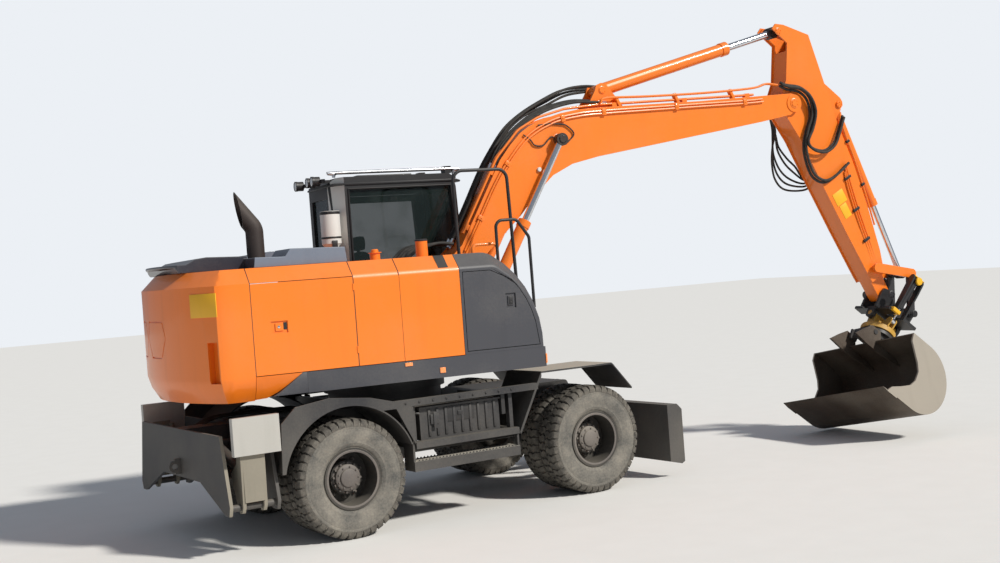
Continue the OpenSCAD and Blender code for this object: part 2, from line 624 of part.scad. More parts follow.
// Outline of the covers over the engine, from X = x0 to x1
function cover_pts(x0, x1) = [[x0, house_z + fit], [x1, house_z + fit], [x1 - 15, house_z + 138],
  [-1165, house_z + 152], [-1215, house_z + 84], [x0 + 12, house_z + 92]];
low_pts = [[-panel_x + 4, low_z + 8], [-1500, low_z + 14], [-1400, low_z + 62], [-1290, low_z + 140],
  [-1190, panel_z0 - gap], [-panel_x + 4, panel_z0 - gap]];
module shoulder_strip() polygon([[house_half, shoulder_z], [house_half - shoulder, house_z],
  [house_half - shoulder - 80, house_z], [house_half - shoulder - 80, house_z - panel_t],
  [house_half - shoulder - 12, house_z - panel_t], [house_half - panel_t, shoulder_z]]);
module body_panels() color("#f7923f") on_upper() {
  // Tank and the narrow panel behind it, right side
  flip_y(-1) difference() {
    wall(tank_x[0] + 2, tank_x[1]) polygon(house_side(0));
    // Finger recess at the top edge
    box([160, house_half - shoulder - 50, house_z - 55], [268, house_half - 42, house_z + 1]);
  }
  flip_y(-1) wall(bulk_x + 2, tank_x[0] - 2) polygon(house_side(0));
  flip_y(-1) wall(tank_x[0] - 3, tank_x[0] + 3) polygon(house_side(8));
  // Front bulkhead of the engine bay and the deck over it
  box([bulk_x, -bay_half - 1, slew_z + deck_t + fit],
    [bulk_x + 40, house_half - 40 - fit, house_z - 30]);
  box([bulk_x, -bay_half - 1, house_z - 30], [cab_x0 - 30, house_half - 160, house_z]);
  // Roof strips beside the hood opening
  box([-panel_x + 4, -house_half + shoulder + 60, house_z - 30], [bulk_x + 1, hood_y[0] - gap, house_z]);
  box([-panel_x + 4, hood_y[1] + gap, house_z - 30], [bulk_x + 1, house_half - 160, house_z]);
  // Shoulders over the side doors
  flip_y(-1) wall(-panel_x + 4, bulk_x + 3) shoulder_strip();
  wall(-panel_x + 4, cab_x0 - 40) shoulder_strip();
  // Lower panels at the rear, tucked in with the counterweight
  mirrored() intersection() {
    slab(house_half - 80, 170) polygon(low_pts);
    wall(-panel_x, -1100) polygon([[house_half, panel_z0], [house_half - 30, low_z + 110],
      [house_half - tuck, low_z], [house_half - tuck - 30, low_z], [low_inner, low_z + 110],
      [house_half - 30, panel_z0]]);
  }
  // Grab handle on the storage box
  tube([[622, house_z + fit], [622, house_z + 76], [880, house_z + 76], [884, house_z - 103.8]],
    30, 45, -1000);
  // Filler necks
  for (f = [[-305, 95, 70], [165, 115, 150]])
    translate([f[0], -850, house_z - 1]) cylinder(h = f[2], d = f[1]);
}

module engine_block() color("#6b6d70") on_upper()
  box([-1780, -520, slew_z + deck_t + fit], [-900, 620, 2250]);
// Hood over the engine, hinged along its front edge
knuckle_d = 24;
hood_pin = [hood_x[1], house_z + fit + knuckle_d / 2];
module engine_hood() color("#5b6470") on_upper() {
  slab((hood_y[0] + hood_y[1]) / 2, hood_y[1] - hood_y[0]) polygon(cover_pts(hood_x[0], hood_x[1]));
  for (y = [hood_y[0] + 100, hood_y[1] - 200]) bar_y(hood_pin, y, y + 100, knuckle_d);
}
// Fixed covers: a stepped one beside the hood and a curved lid over the tail
module deck_cover() color("#5b6470") on_upper() {
  slab((cover_y[0] + cover_y[1]) / 2, cover_y[1] - cover_y[0]) polygon(cover_pts(-1505, hood_x[1]));
  intersection() {
    slab(0, 1360) polygon([[-2080, house_z + fit], [hood_x[0] - gap, house_z + fit],
      [hood_x[0] - gap, house_z + 116], [-1830, house_z + 130], [-1925, house_z + 118],
      [-2015, house_z + 72], [-2110, house_z + 76], [-2250, house_z + 82], [-2250, house_z + 62],
      [-2110, house_z + 50]]);
    translate([0, 0, house_z]) cylinder(h = 200, r = tail_r - 55, $fn = 192);
  }
}
// Exhaust stack with its slanted outlet, standing on the deck strip
stack = [-1303, house_z + fit];
stack_y = -400;
stack_bend = [stack[0], 2815];
stack_d = 165;
outlet = stack_bend + polar(223, 128);
module exhaust() color("#6f6866") on_upper() {
  difference() {
    tube([stack, stack_bend, stack_bend + polar(420, 128)], stack_d, 130, stack_y);
    aimed(outlet, 99, stack_y) box([-300, -200, 0], [300, 200, 400]);
    aimed(stack_bend, 128, stack_y) rotate([0, 90, 0]) cylinder(h = 500, d = stack_d - 16);
  }
  translate([stack[0], stack_y, stack[1]]) cylinder(h = 12, d = stack_d + 60);
}
// Hinge knuckles of an upright door, on its axis at x and y
module knuckles(x, y, zs, d = 11.4) for (z = zs) translate([x, y, z]) cylinder(h = 60, d = d);
// Side doors below the shoulder, with a recess for the latch
module side_door(x0, x1, latch_x, hinge_x, d) {
  difference() {
    box([x0, house_half - panel_t, panel_z0], [x1, house_half, shoulder_z - gap]);
    box([latch_x, house_half - 14, 1860], [latch_x + 150, house_half + 1, 1965]);
  }
  box([latch_x + 40, house_half - 15, 1880], [latch_x + 110, house_half - 3, 1945]);
  knuckles(hinge_x, house_half, [1620, 2180], d);
}
module service_door_right() color("#f7923f") on_upper()
  flip_y(-1) side_door(-panel_x + gap, bulk_x - gap, -1443, bulk_x - gap, 15.4);
module service_door_left() color("#f7923f") on_upper()
  side_door(-panel_x + gap, cab_x0 - 40 - gap, -500, -panel_x + gap, 11.4);

// Dark curved storage box at the right front, hollow behind its lid
crown_r = 245;
crown_c = [640, house_z - crown_r];
brow_r = 960;
brow_c = crown_c - polar(brow_r - crown_r, 60);
nose = concat([[tank_x[1] + 4, panel_z0], [brow_c[0] + brow_r, panel_z0]], arc(brow_c, brow_r, 4, 60, 6),
  arc(crown_c, crown_r, 70, 90, 2), [[tank_x[1] + 4, house_z]]);
lid_pts = concat([[392, 1530], [1150, 1530]], arc(brow_c, 855, 4, 44, 5), [[680, 2272], [392, 2272]]);
// Depth of the shoulder across the outline, by the direction a that the edge faces
function shoulder_cut(a) = 62 + 68 * max(0, min(1, (a - 20) / 70));
module storage_box() color("#4b4c50") on_upper() {
  flip_y(-1) difference() {
    slab((bay_half + house_half) / 2, house_half - bay_half) polygon(nose);
    slab((bay_half + house_half) / 2 + 40, house_half - bay_half - 20) polygon(lid_pts);
    // Shoulder along each edge of the front and top
    for (i = [1 : len(nose) - 2]) {
      way = nose[i + 1] - nose[i];
      e = shoulder_cut(heading(way) - 90);
      aimed(nose[i], heading(way)) wall(-300, norm(way) + 300)
        polygon([[house_half - shoulder, 0], [house_half - shoulder, -80], [house_half + 2, -80],
          [house_half + 2, e * (shoulder + 2) / shoulder]]);
    }
  }
  // Skirts under the housings
  flip_y(-1) box([-1150, house_half - 40, skirt_z0], [deck_x1, house_half - 2, panel_z0 - gap]);
  box([-1150, house_half - 40, skirt_z0], [cab_x0 - 20, house_half - 2, panel_z0 - gap]);
  box([cab_x0 - 21, house_half - 40, skirt_z0], [deck_x1, house_half - 2, cab_z0 - gap]);
  // Base of the box on the deck, and the front of its skirt
  flip_y(-1) box([tank_x[1] + 4, 900, slew_z + deck_t + fit], [1200, house_half - 2, panel_z0 + 1]);
  flip_y(-1) box([deck_x1 + fit, 900, skirt_z0], [1200, house_half - 2, panel_z0]);
  for (x = [-900, 0, 900]) mirrored()
    box([x, house_half - 60 + fit, skirt_z0 + 20], [x + 60, house_half - 39, skirt_z0 + 70]);
}
module storage_lid() color("#4b4c50") on_upper() flip_y(-1) {
  difference() {
    slab(house_half - 12, 24) polygon(inset(lid_pts, gap));
    box([820, house_half - 14, 1900], [925, house_half + 1, 2040]);
  }
  box([845, house_half - 15, 1925], [900, house_half - 3, 2015]);
  knuckles(lid_pts[0][0] + gap, house_half, [1640, 2100]);
}

// Cab: frame with window openings
cab_y = [bay_half, house_half];
cab_z0 = 1420;
cab_pts = [[cab_x0, cab_z0], [cab_x2 - 120, cab_z0], [cab_x2, 1600], [cab_x2 - 10, 1880],
  [cab_x1 - 5, 2560], [cab_x1 - 25, 3180], [cab_x1 - 50, cab_z - 30], [cab_x1 - 100, cab_z],
  [cab_x0 + 60, cab_z], [cab_x0, cab_z - 50]];
window_r = [[-80, 2060], [1110, 2060], [1058, 2560], [1036, 3185], [-80, 3185]];
front_win = [[1000, cab_y[0] + 90, 1980], [1600, cab_y[1] - 90, 3150]];
toe_win = [[1100, cab_y[0] + 90, 1560], [1600, cab_y[1] - 90, 1880]];
rear_win = [[cab_x0 - 10, 640, 2480], [cab_x0 + 100, cab_y[1] - 90, 3120]];
cab_mid = (cab_y[0] + cab_y[1]) / 2;
// Everything outside the slanted rear right corner, moved inwards by t
module beyond_corner(t) translate([cab_x0 + 109, cab_y[0], 0]) rotate([0, 0, 116.2])
  box([-300, -t, cab_z0 - 1], [600, 400, cab_z + 1]);
module cab_shell() color("#2b2c2e") on_upper() {
  difference() {
    slab(cab_mid, cab_y[1] - cab_y[0]) polygon(cab_pts);
    beyond_corner(0);
    difference() {
      slab(cab_mid, cab_y[1] - cab_y[0] - 2 * cab_t) polygon(inset(cab_pts, cab_t));
      beyond_corner(cab_t);
    }
    // Right window, front, toe and rear windows
    slab(cab_y[0], 3 * cab_t) polygon(window_r);
    for (w = [front_win, toe_win, rear_win]) box(w[0], w[1]);
    // Door opening
    slab(cab_y[1], 3 * cab_t) polygon(door_pts);
  }
  // Grease reservoir on its bracket behind the slanted corner
  translate([-300, 400, 2590]) cylinder(h = 60, d1 = 90, d2 = 200);
  translate([-300, 400, 2649]) cylinder(h = 330, d = 200);
  box([-300, 440, 2700], [-205, 540, 2740]);
  // Lamps on the roof's corners and on a bar at its rear: [x, y]
  for (p = [[cab_x1 - 130, cab_y[0] + 70], [cab_x1 - 130, cab_y[1] - 70]])
    translate([p[0], p[1], cab_z - 1]) box([0, -55, 0], [70, 55, 75]);
  box([-330, 480, cab_z - 40], [-295, 1225, cab_z - 5]);
  for (y = [560, 1120]) box([-330, y, cab_z - 40], [cab_x0 + 70, y + 40, cab_z - 10]);
  for (y = [600, 760, 1170]) translate([-400, y, cab_z - 20]) rotate([0, 90, 0])
    cylinder(h = 80, d = 100);
}
door_pts = [[-110, 1480], [900, 1480], [1160, 1720], [1160, 1960], [1030, 2560], [1000, 3170],
  [-110, 3170]];
module cab_door() color("#2b2c2e") on_upper() {
  knuckles(door_pts[0][0] + 6, cab_y[1], [1600, 2900]);
  difference() {
    slab(cab_y[1] - cab_t / 2, cab_t) polygon(inset(door_pts, 6));
    slab(cab_y[1] - cab_t / 2, 3 * cab_t) polygon(inset(door_pts, 70));
  }
  // Waist rail and handle
  box([-60, cab_y[1] - 45, 2010], [1080, cab_y[1] - 10, 2060]);
  box([860, cab_y[1] - 11, 2020], [1000, cab_y[1] + 22, 2050]);
}
// A pane that fills a window of the front or rear wall
module pane(w) intersection() {
  slab(cab_mid, 2000) difference() {
    polygon(inset(cab_pts, 20));
    polygon(inset(cab_pts, 20 + glass_t));
  }
  box(w[0] + [0, fit, fit], w[1] - [0, fit, fit]);
}
module cab_glass() color([0.3, 0.45, 0.42, 0.5]) on_upper() {
  slab(cab_y[0] + cab_t / 2, glass_t) polygon(inset(window_r, fit));
  for (w = [front_win, toe_win, rear_win]) pane(w);
}
module operator_seat() color("#2a2a2c") on_upper() {
  box([120, 620, cab_z0 + cab_t + fit], [560, 1000, 1900]);
  box([60, 600, 1900.3], [640, 1020, 2010]);
  box([60, 600, 2010.3], [180, 1020, 2600]);
}
// Handrails: tubes in upright planes
mirror_z = 2900;
mirror_x = cab_x1 - 5 - 20 * (mirror_z - 2560) / 620 + fit;
rail_d = 34;
rail_on = house_z + fit;
module handrails() color("#2b2c2e") on_upper() {
  // Tall rail beside the boom
  tube([[655, rail_on], [648, 3258], [1230, 3258], [1274, 1420]], rail_d, 100, -600);
  translate([1274, -600, 1440]) rotate([0, -90, 0]) cylinder(h = 78, d = rail_d);
  // Hoop over the storage box, with feet on its curved front
  tube([[842, 2345], [846, 2732], [1065, 2735], [1188, 2560], [1192, 1880]], 30, 70, -1080);
  // Roof rail along the cab's right edge
  tube([[-225, cab_z + fit], [-222, cab_z + 44], [1090, cab_z + 44], [1110, cab_z - 60]], 32, 36,
    cab_y[0] + 30);
  // Mirror arms and heads, one at each front corner
  tube([[mirror_x, mirror_z], [1420, mirror_z + 5]], 26, 30, cab_y[1] - 30);
  box([1400, cab_y[1] - 60, 2640], [1430, cab_y[1] + 150, 2960]);
}

// BOOM AND ITS CYLINDERS

boom_pts = [[-70, -90], [130, -95], [1400, 345], [1700, 480], [1935, 560], [2200, 572],
  [2540, 510], [3810, 197], [4650, -10], [5060, -100], [5240, -60], [5262, 60], [5190, 112],
  [4761, 262], [3985, 530], [2782, 972], [2520, 1060], [2308, 1108], [2057, 1138],
  [1900, 1132], [1787, 1112], [1620, 1045], [1445, 955], [665, 362], [-60, 110], [-120, 10]];
boom_fork_w = boom_w + 20;
module boom() color("#f7923f") on_upper() aimed_frame(foot, boom_deg) {
  difference() {
    union() {
      girder(boom_pts, boom_w, 16);
      bar_y([0, 0], -boom_w / 2, boom_w / 2, 230);
      bar_y([boom_len, 0], -boom_fork_w / 2, boom_fork_w / 2, 200);
      bar_y([2151, 864], -boom_w / 2, boom_w / 2, 180);
      // Lugs of the arm cylinder
      for (y = [-98, 98]) slab(y, 30) polygon([[2640, 1000], [3100, 840], [3010, 1150],
        [2960, 1195], [2890, 1195], [2850, 1150]]);
    }
    bar_y([0, 0], -400, 400, pin_d + 2 * fit);
    // Slot for the arm's boss
    slab(0, arm_w + 2 * gap) polygon([[boom_len - 330, 400], [boom_len - 330, -300],
      [boom_len + 300, -300], [boom_len + 300, 400]]);
  }
  bar_y([boom_len, 0], -boom_fork_w / 2 - 12, boom_fork_w / 2 + 12, pin_d);
  bar_y([2931, 1121], -125, 125, 70);
}
// Place the children of the XZ plane with the origin at p and X along angle a
module aimed_frame(p, a) translate([p[0], 0, p[1]]) rotate([0, -a, 0]) children();

boom_cyl_y = boom_w / 2 + gap + boom_cyl_d * 1.12 / 2;
boom_cyl_aim = heading(boom_cyl_eye - boom_cyl_foot);
boom_cyl_reach = norm(boom_cyl_eye - boom_cyl_foot);
boom_rod_d = boom_cyl_d * rod_share;
module boom_barrels() color("#f7923f") on_upper() for (s = [-1, 1])
  aimed(boom_cyl_foot, boom_cyl_aim, s * (bracket_y + 52)) barrel(boom_cyl_d, 1410, 50, 70, boom_rod_d);
module boom_rods() color("silver") on_upper() for (s = [-1, 1])
  aimed(boom_cyl_foot, boom_cyl_aim, s * (bracket_y + 52))
    rod(boom_rod_d, boom_cyl_reach, 1500, 80, 70, 96);

arm_cyl_aim = heading(arm_cyl_eye - arm_cyl_foot);
arm_cyl_reach = norm(arm_cyl_eye - arm_cyl_foot);
arm_rod_d = arm_cyl_d * rod_share;
module arm_barrel() color("#f7923f") on_upper()
  aimed(arm_cyl_foot, arm_cyl_aim) barrel(arm_cyl_d, 1790, 120, 70, arm_rod_d);
module arm_rod() color("silver") on_upper()
  aimed(arm_cyl_foot, arm_cyl_aim) rod(arm_rod_d, arm_cyl_reach, 1560, 120, 70, 150);
// Pipes on the boom's back, and their clamps on the flange: [edge start, edge end, share]
clamps = [[[665, 362], [1445, 955], 0.2], [[665, 362], [1445, 955], 0.85],
  [[2782, 972], [3985, 530], 0.15], [[2782, 972], [3985, 530], 0.85], [[3985, 530], [4761, 262], 0.8]];
module boom_pipes() color("#f7923f") on_upper() aimed_frame(foot, boom_deg) {
  for (y = [-160, -130]) tube([[742, 460], [1430, 987], [1787, 1147], [2057, 1172], [2400, 1125],
    [2782, 1008], [4700, 308]], 26, 300, y);
  for (c = clamps) aimed(c[0] + c[2] * (c[1] - c[0]), heading(c[1] - c[0]), -145)
    box([-30, -28, -16 + fit], [30, 28, 42]);
}

// ARM

arm_pts = [[-887, 297], [-860, 230], [-624, 329], [-270, 84], [-120, -110], [0, -150],
  [397, -110], [944, -119], [arm_len - 974, -121], [arm_len - 348, -112], [arm_len - 118, -100],
  [arm_len, -100], [arm_len + 82, -50], [arm_len + 92, 30], [arm_len + 42, 90],
  [arm_len - 109, 95], [arm_len - 298, 130], [arm_len - 502, 200], [1242, 395], [533, 463],
  [-17, 557], [-562, 649], [-825, 392]];
module arm() color("#f58a35") on_upper() aimed_frame(tip, arm_deg) {
  difference() {
    union() {
      difference() {
        union() {
          girder(arm_pts, arm_w, 16);
          bar_y([0, 0], -arm_w / 2, arm_w / 2, 230);
          bar_y([arm_len - 371, 7], -arm_w / 2, arm_w / 2, 150);
          // Bracket of the bucket cylinder
          for (y = [-90, 90]) slab(y, 26) polygon([[0, 530], [533, 430], [420, 590],
            [385, 680], [345, 700], [290, 696], [-20, 556]]);
        }
        // Room between the ears for the arm cylinder's rod
        slab(0, 200) polygon([[-1000, 100], [-1000, 500], [-700, 640], [-480, 420], [-560, 260]]);
        // Slimmer tip
        for (s = [-1, 1]) slab(s * (arm_tip_w / 2 + 100), 200)
          polygon([[arm_len - 238, -300], [arm_len - 238, 400], [arm_len + 302, 400],
            [arm_len + 302, -300]]);
      }
      slab(0, arm_tip_w) polygon([[arm_len - 298, -90], [arm_len, -86], [arm_len, 86],
        [arm_len - 118, 90], [arm_len - 298, 110]]);
      bar_y([arm_len, 0], -arm_tip_w / 2, arm_tip_w / 2, 172);
    }
    bar_y([0, 0], -300, 300, pin_d + 2 * fit);
    bar_y([arm_len, 0], -300, 300, 70 + 2 * fit);
    bar_y([arm_len - 371, 7], -300, 300, 70 + 2 * fit);
  }
  bar_y([345, 630], -112, 112, 60);
}

// ROCKER, LINK AND BUCKET CYLINDER

bucket_aim = heading(rocker_eye - bucket_cyl_foot);
bucket_reach = norm(rocker_eye - bucket_cyl_foot);
bucket_rod_d = bucket_cyl_d * rod_share;
module bucket_barrel() color("#f58a35") on_upper()
  aimed(bucket_cyl_foot, bucket_aim) barrel(bucket_cyl_d, 1310, 110, 60, bucket_rod_d);
module bucket_rod() color("silver") on_upper()
  aimed(bucket_cyl_foot, bucket_aim) rod(bucket_rod_d, bucket_reach, 1380, 96, 60, 100);
link_y = arm_w / 2 + gap + 16;
rocker_y = link_y + 16 + gap + 16;
// A bar with round ends between two XZ points
module strap(p, q, w, y, t) {
  u = unit(q - p) * w / 2;
  slab(y, t) polygon([p + left_of(u), p - left_of(u), q - left_of(u), q + left_of(u)]);
  bar_y(p, y - t / 2, y + t / 2, w);
  bar_y(q, y - t / 2, y + t / 2, w);
}
module rocker() color("#f58a35") on_upper() {
  for (s = [-1, 1]) strap(rocker_pin, rocker_eye, 110, s * rocker_y, 32);
  bar_y(rocker_pin, -rocker_y, rocker_y, 70);
}
module bucket_link() color("#2f3033") on_upper() difference() {
  union() {
    for (s = [-1, 1]) strap(coupler_pin, rocker_eye, 100, s * link_y, 32);
    for (s = [-1, 1]) bar_y(rocker_eye, s > 0 ? 104 : -link_y, s > 0 ? link_y : -104, 90);
  }
  bar_y(coupler_pin, -400, 400, 60 + 2 * fit);
}

// COUPLER, TILT FRAME, ROTOR AND BUCKET

ear_y = arm_tip_w / 2 + gap + 16;
// Pins of a tilt cylinder in the plane across the tilt axis: [y, z]
tilt_pin_up = [270, 320 + tilt_drop];
tilt_pin_low = [200, -50];
tilt_x = 190;
tilt_cyl_d = 70;
tilt_pin_d = 40;
lug_t = 20;
notch = tilt_cyl_d / 2 + gap + lug_t + gap;
module on_coupler() on_upper() aimed_frame(arm_tip, tool_deg) children();
// Origin on the tilt axis, before and after the tilt
module on_axis() on_coupler() translate([0, 0, -tilt_drop]) children();
module on_tilt() on_axis() rotate([-tilt_deg, 0, 0]) children();

module coupler() color("#2f3033") on_coupler() {
  difference() {
    union() {
      for (s = [-1, 1]) slab(s * ear_y, 32) polygon([[-60, 50], [-75, 0], [-60, -200],
        [coupler_len + 60, -200], [coupler_len + 75, 0], [coupler_len + 50, 50],
        [coupler_len, 68], [coupler_len - 60, 40], [coupler_len / 2, -60], [60, 40], [0, 68]]);
      box([-5, -300, -200], [coupler_len + 60, 300, -165]);
      for (x = [0, coupler_len + 5]) translate([x, 0, -tilt_drop]) rotate([0, 90, 0]) {
        cylinder(h = 50, r = 62);
        translate([-80, -62, 0]) cube([80, 124, 50]);
      }
      // Wings that carry the tilt cylinders
      for (x = [tilt_x - notch - 22, tilt_x + notch]) mirrored() wall(x, x + 22)
        polygon([[232, -200], [300, -200], [325, 180], [325, 320], [300, 360], [262, 360],
          [236, 320]]);
    }
    mirrored() box([tilt_x - notch, ear_y + 17, -300], [tilt_x + notch, 400, -100]);
    translate([-100, 0, -tilt_drop]) rotate([0, 90, 0]) cylinder(h = 700, d = 60 + 2 * fit);
  }
  bar_y([0, 0], -ear_y - 15, ear_y + 15, 70);
  bar_y([coupler_len, 0], -link_y - 20, link_y + 20, 60);
  mirrored() translate([tilt_x - notch - 10, tilt_pin_up[0], tilt_pin_up[1] - tilt_drop])
    rotate([0, 90, 0]) cylinder(h = 2 * notch + 20, d = tilt_pin_d);
}

// A tilt cylinder lies in the plane across the tilt axis; the right one has side = -1
function low_pin(side) = turned([side * tilt_pin_low[0], tilt_pin_low[1]], -tilt_deg);
function up_pin(side) = [side * tilt_pin_up[0], tilt_pin_up[1]];
module across_tilt(side) on_axis() translate([tilt_x, up_pin(side)[0], up_pin(side)[1]])
  rotate([0, 0, 90]) rotate([0, -heading(low_pin(side) - up_pin(side)), 0]) children();
tilt_rod_d = tilt_cyl_d * rod_share;
module tilt_barrel(side) across_tilt(side) barrel(tilt_cyl_d, 400, 50, tilt_pin_d, tilt_rod_d);
module tilt_rod(side) across_tilt(side)
  rod(tilt_rod_d, norm(low_pin(side) - up_pin(side)), 400, 50, tilt_pin_d, 54);
module tilt_barrel_left() color("#6f7072") tilt_barrel(1);
module tilt_barrel_right() color("#6f7072") tilt_barrel(-1);
module tilt_rod_left() color("silver") tilt_rod(1);
module tilt_rod_right() color("silver") tilt_rod(-1);

flange_z = -140;
rotor_z = -200;
mid_x = coupler_len / 2;
module tilt_frame() color("#d8b13a") on_tilt() {
  translate([2, 0, 0]) rotate([0, 90, 0]) cylinder(h = coupler_len + 51, d = 60);
  translate([50 + gap, 0, 0]) rotate([0, 90, 0]) cylinder(h = coupler_len - 45 - 2 * gap, r = 42);
  box([60, -58, flange_z], [coupler_len - 10, 58, 0]);
  translate([mid_x, 0, rotor_z + fit]) cylinder(h = flange_z - rotor_z - fit, r = rotor_r);
  // Lugs of the tilt cylinders
  mirrored() for (x = [tilt_x - 28 - lug_t, tilt_x + 28]) wall(x, x + lug_t)
    polygon([[60, flange_z - 10], [60, -105], [141, -64], [166, -28], [200, -10], [230, -25], [240, -50],
      [230, -80], [205, flange_z - 10]]);
}

// Rotor ring and lower hitch, with the two pins of the bucket
hitch_z = -332;
hitch_pin_x = 210;
hitch_y = 150;
module rotor_hitch() color("#2f3033") on_tilt() {
  translate([mid_x, 0, rotor_z - 50]) cylinder(h = 50, r = rotor_r - 15);
  box([mid_x - 240, -hitch_y, rotor_z - 110], [mid_x + 240, hitch_y, rotor_z - 45]);
  for (x = [mid_x - hitch_pin_x, mid_x + hitch_pin_x]) mirrored() slab(hitch_y - 15, 30)
    polygon([[x - 60, rotor_z - 60], [x - 50, hitch_z - 45], [x + 50, hitch_z - 45],
      [x + 60, rotor_z - 60]]);
  for (x = [mid_x - hitch_pin_x, mid_x + hitch_pin_x]) translate([x, 0, hitch_z])
    rotate([90, 0, 0]) cylinder(h = 440, d = 60, center = true);
}

// Bucket outline round its back: origin midway between the hitch pins
back_c = [120, -100 - bucket_r];
floor_z = back_c[1] - bucket_r;
shell_out = concat([[-170, -100], [120, -100]], arc(back_c, bucket_r, 87, -90, 30),
  [[-280, floor_z]]);
shell_in = concat([[-280, floor_z + bucket_t]],
  arc(back_c, bucket_r - bucket_t, -90, 87, 30), [[120, -100 - bucket_t], [-170, -100 - bucket_t]]);
bucket_ear_y = 200;
module bucket() color("#5a4a40") on_tilt() translate([mid_x, 0, hitch_z]) {
  slab(0, bucket_w) polygon(concat([for (i = [len(shell_out) - 1 : -1 : 0]) shell_out[i]],
    [for (i = [len(shell_in) - 1 : -1 : 0]) shell_in[i]]));
  mirrored() slab(bucket_w / 2 - 11, 22) polygon(concat([[-280, floor_z + 5], [-235, floor_z + 75],
    [-120, -790], [10, -690], [57, -600], [60, -480], [10, -390], [-80, -290], [-160, -200],
    [-172, -100]], arc(back_c, bucket_r, 90, -90, 30)));
  // Cutting edge
  slab(0, bucket_w) polygon([[-360, floor_z], [-270, floor_z - 12], [-130, floor_z - 12],
    [-130, floor_z + 1], [-270, floor_z + 1]]);
  // Ears for the hitch pins and the stiffener across the top
  mirrored() difference() {
    slab(bucket_ear_y, 25) polygon([[-370, -50], [-480, -190], [-300, -205], [-83, -211],
      [300, -160], [330, -101], [290, 50], [140, 50], [90, -60], [-90, -60], [-140, 50],
      [-280, 50]]);
    for (x = [-hitch_pin_x, hitch_pin_x]) bar_y([x, 0], 0, 400, 60 + 2 * fit);
  }
  slab(0, 900) polygon([[-100, -101], [-60, -70], [60, -70], [100, -101]]);
}

chassis_frame();
front_axle();
rear_axle();
mudguards();
side_steps();
stabiliser_beam();
knuckle_left();
knuckle_right();
tyres_fl();
tyres_fr();
tyres_rl();
tyres_rr();
rims_fl();
rims_fr();
rims_rl();
rims_rr();
blade();
blade_barrels();
blade_rods();
stabiliser_leg_left();
stabiliser_leg_right();
stabiliser_barrel_left();
stabiliser_barrel_right();
stabiliser_rod_left();
stabiliser_rod_right();
revolving_frame();
counterweight();
body_panels();
engine_block();
engine_hood();
service_door_right();
service_door_left();
deck_cover();
exhaust();
storage_box();
storage_lid();
cab_shell();
cab_door();
cab_glass();
operator_seat();
handrails();
boom();
boom_barrels();
boom_rods();
boom_pipes();
arm();
arm_barrel();
arm_rod();
bucket_barrel();
bucket_rod();
rocker();
bucket_link();
coupler();
tilt_barrel_left();
tilt_barrel_right();
tilt_rod_left();
tilt_rod_right();
tilt_frame();
rotor_hitch();
bucket();
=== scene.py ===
# %% [markdown]
# A wheeled excavator stands parked with its boom reaching forward. The bodies and joints come from the
# imported frame, which was made with a modeller for solids. This script dresses them: soft edges, dusty
# paint, tyres with tread, hoses, lamps and the small fittings that the solids leave out.

# %% Load the frame
import bpy, bmesh, json, math
from mathutils import Matrix, Vector


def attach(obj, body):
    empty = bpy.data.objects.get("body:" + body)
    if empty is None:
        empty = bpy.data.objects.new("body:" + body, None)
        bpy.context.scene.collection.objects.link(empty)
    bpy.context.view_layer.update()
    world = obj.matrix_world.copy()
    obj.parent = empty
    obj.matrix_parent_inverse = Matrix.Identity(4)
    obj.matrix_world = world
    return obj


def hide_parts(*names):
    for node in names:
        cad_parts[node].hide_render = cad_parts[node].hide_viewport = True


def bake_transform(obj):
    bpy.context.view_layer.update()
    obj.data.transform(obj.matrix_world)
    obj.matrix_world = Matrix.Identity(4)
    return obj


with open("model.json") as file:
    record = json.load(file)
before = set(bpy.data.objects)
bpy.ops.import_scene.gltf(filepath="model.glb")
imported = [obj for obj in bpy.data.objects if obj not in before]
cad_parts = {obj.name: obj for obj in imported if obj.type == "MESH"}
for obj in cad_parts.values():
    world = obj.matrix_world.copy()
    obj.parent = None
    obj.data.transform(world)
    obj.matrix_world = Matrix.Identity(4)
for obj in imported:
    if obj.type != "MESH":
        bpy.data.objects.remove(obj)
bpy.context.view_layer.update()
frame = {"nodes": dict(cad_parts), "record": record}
nodes = frame["nodes"]

# %% [markdown]
# Every fitting sits on a part that has its own place: the chassis, the upper structure that is
# swung 7 degrees, the boom, the arm or the tool. A fitting could be placed in the world's
# metres, but its numbers would say nothing. One matrix for each part lets it be written in that
# part's own millimetres, from the slewing axis or from the part's first pin.

# %% Places of the machine's parts
# Degrees: the swing, how steeply boom, arm and coupler point up, and the bucket's tilt
SWING, BOOM_UP, ARM_UP, TOOL_UP, TILT = 7.0, 22.4, -62.2, -38.0, 12.0
# Millimetres: the boom's foot pin, boom and arm between their pins, and the tilt pin's depth
FOOT, BOOM_LEN, ARM_LEN, TILT_DROP = (400, 0, 1950), 5160, 2598, 250
# Metres: the slewing axis
SLEWING_AXIS = (-2.275, 0.153, 0)
MM = Matrix.Scale(0.001, 4)


def moved(x, y, z):
    """A place moved by so much."""
    return Matrix.Translation((x, y, z))


def turned(deg, axis):
    """A place turned by degrees."""
    return Matrix.Rotation(math.radians(deg), 4, axis)


CHASSIS = moved(*SLEWING_AXIS) @ MM
UPPER = CHASSIS @ turned(-SWING, "Z")
BOOM = UPPER @ moved(*FOOT) @ turned(-BOOM_UP, "Y")
ARM = BOOM @ moved(BOOM_LEN, 0, 0) @ turned(BOOM_UP - ARM_UP, "Y")
TOOL = ARM @ moved(ARM_LEN, 0, 0) @ turned(ARM_UP - TOOL_UP, "Y")
TILTED = TOOL @ moved(0, 0, -TILT_DROP) @ turned(-TILT, "X")
print("boom tip", ARM.translation[:], "tool pin", TOOL.translation[:])

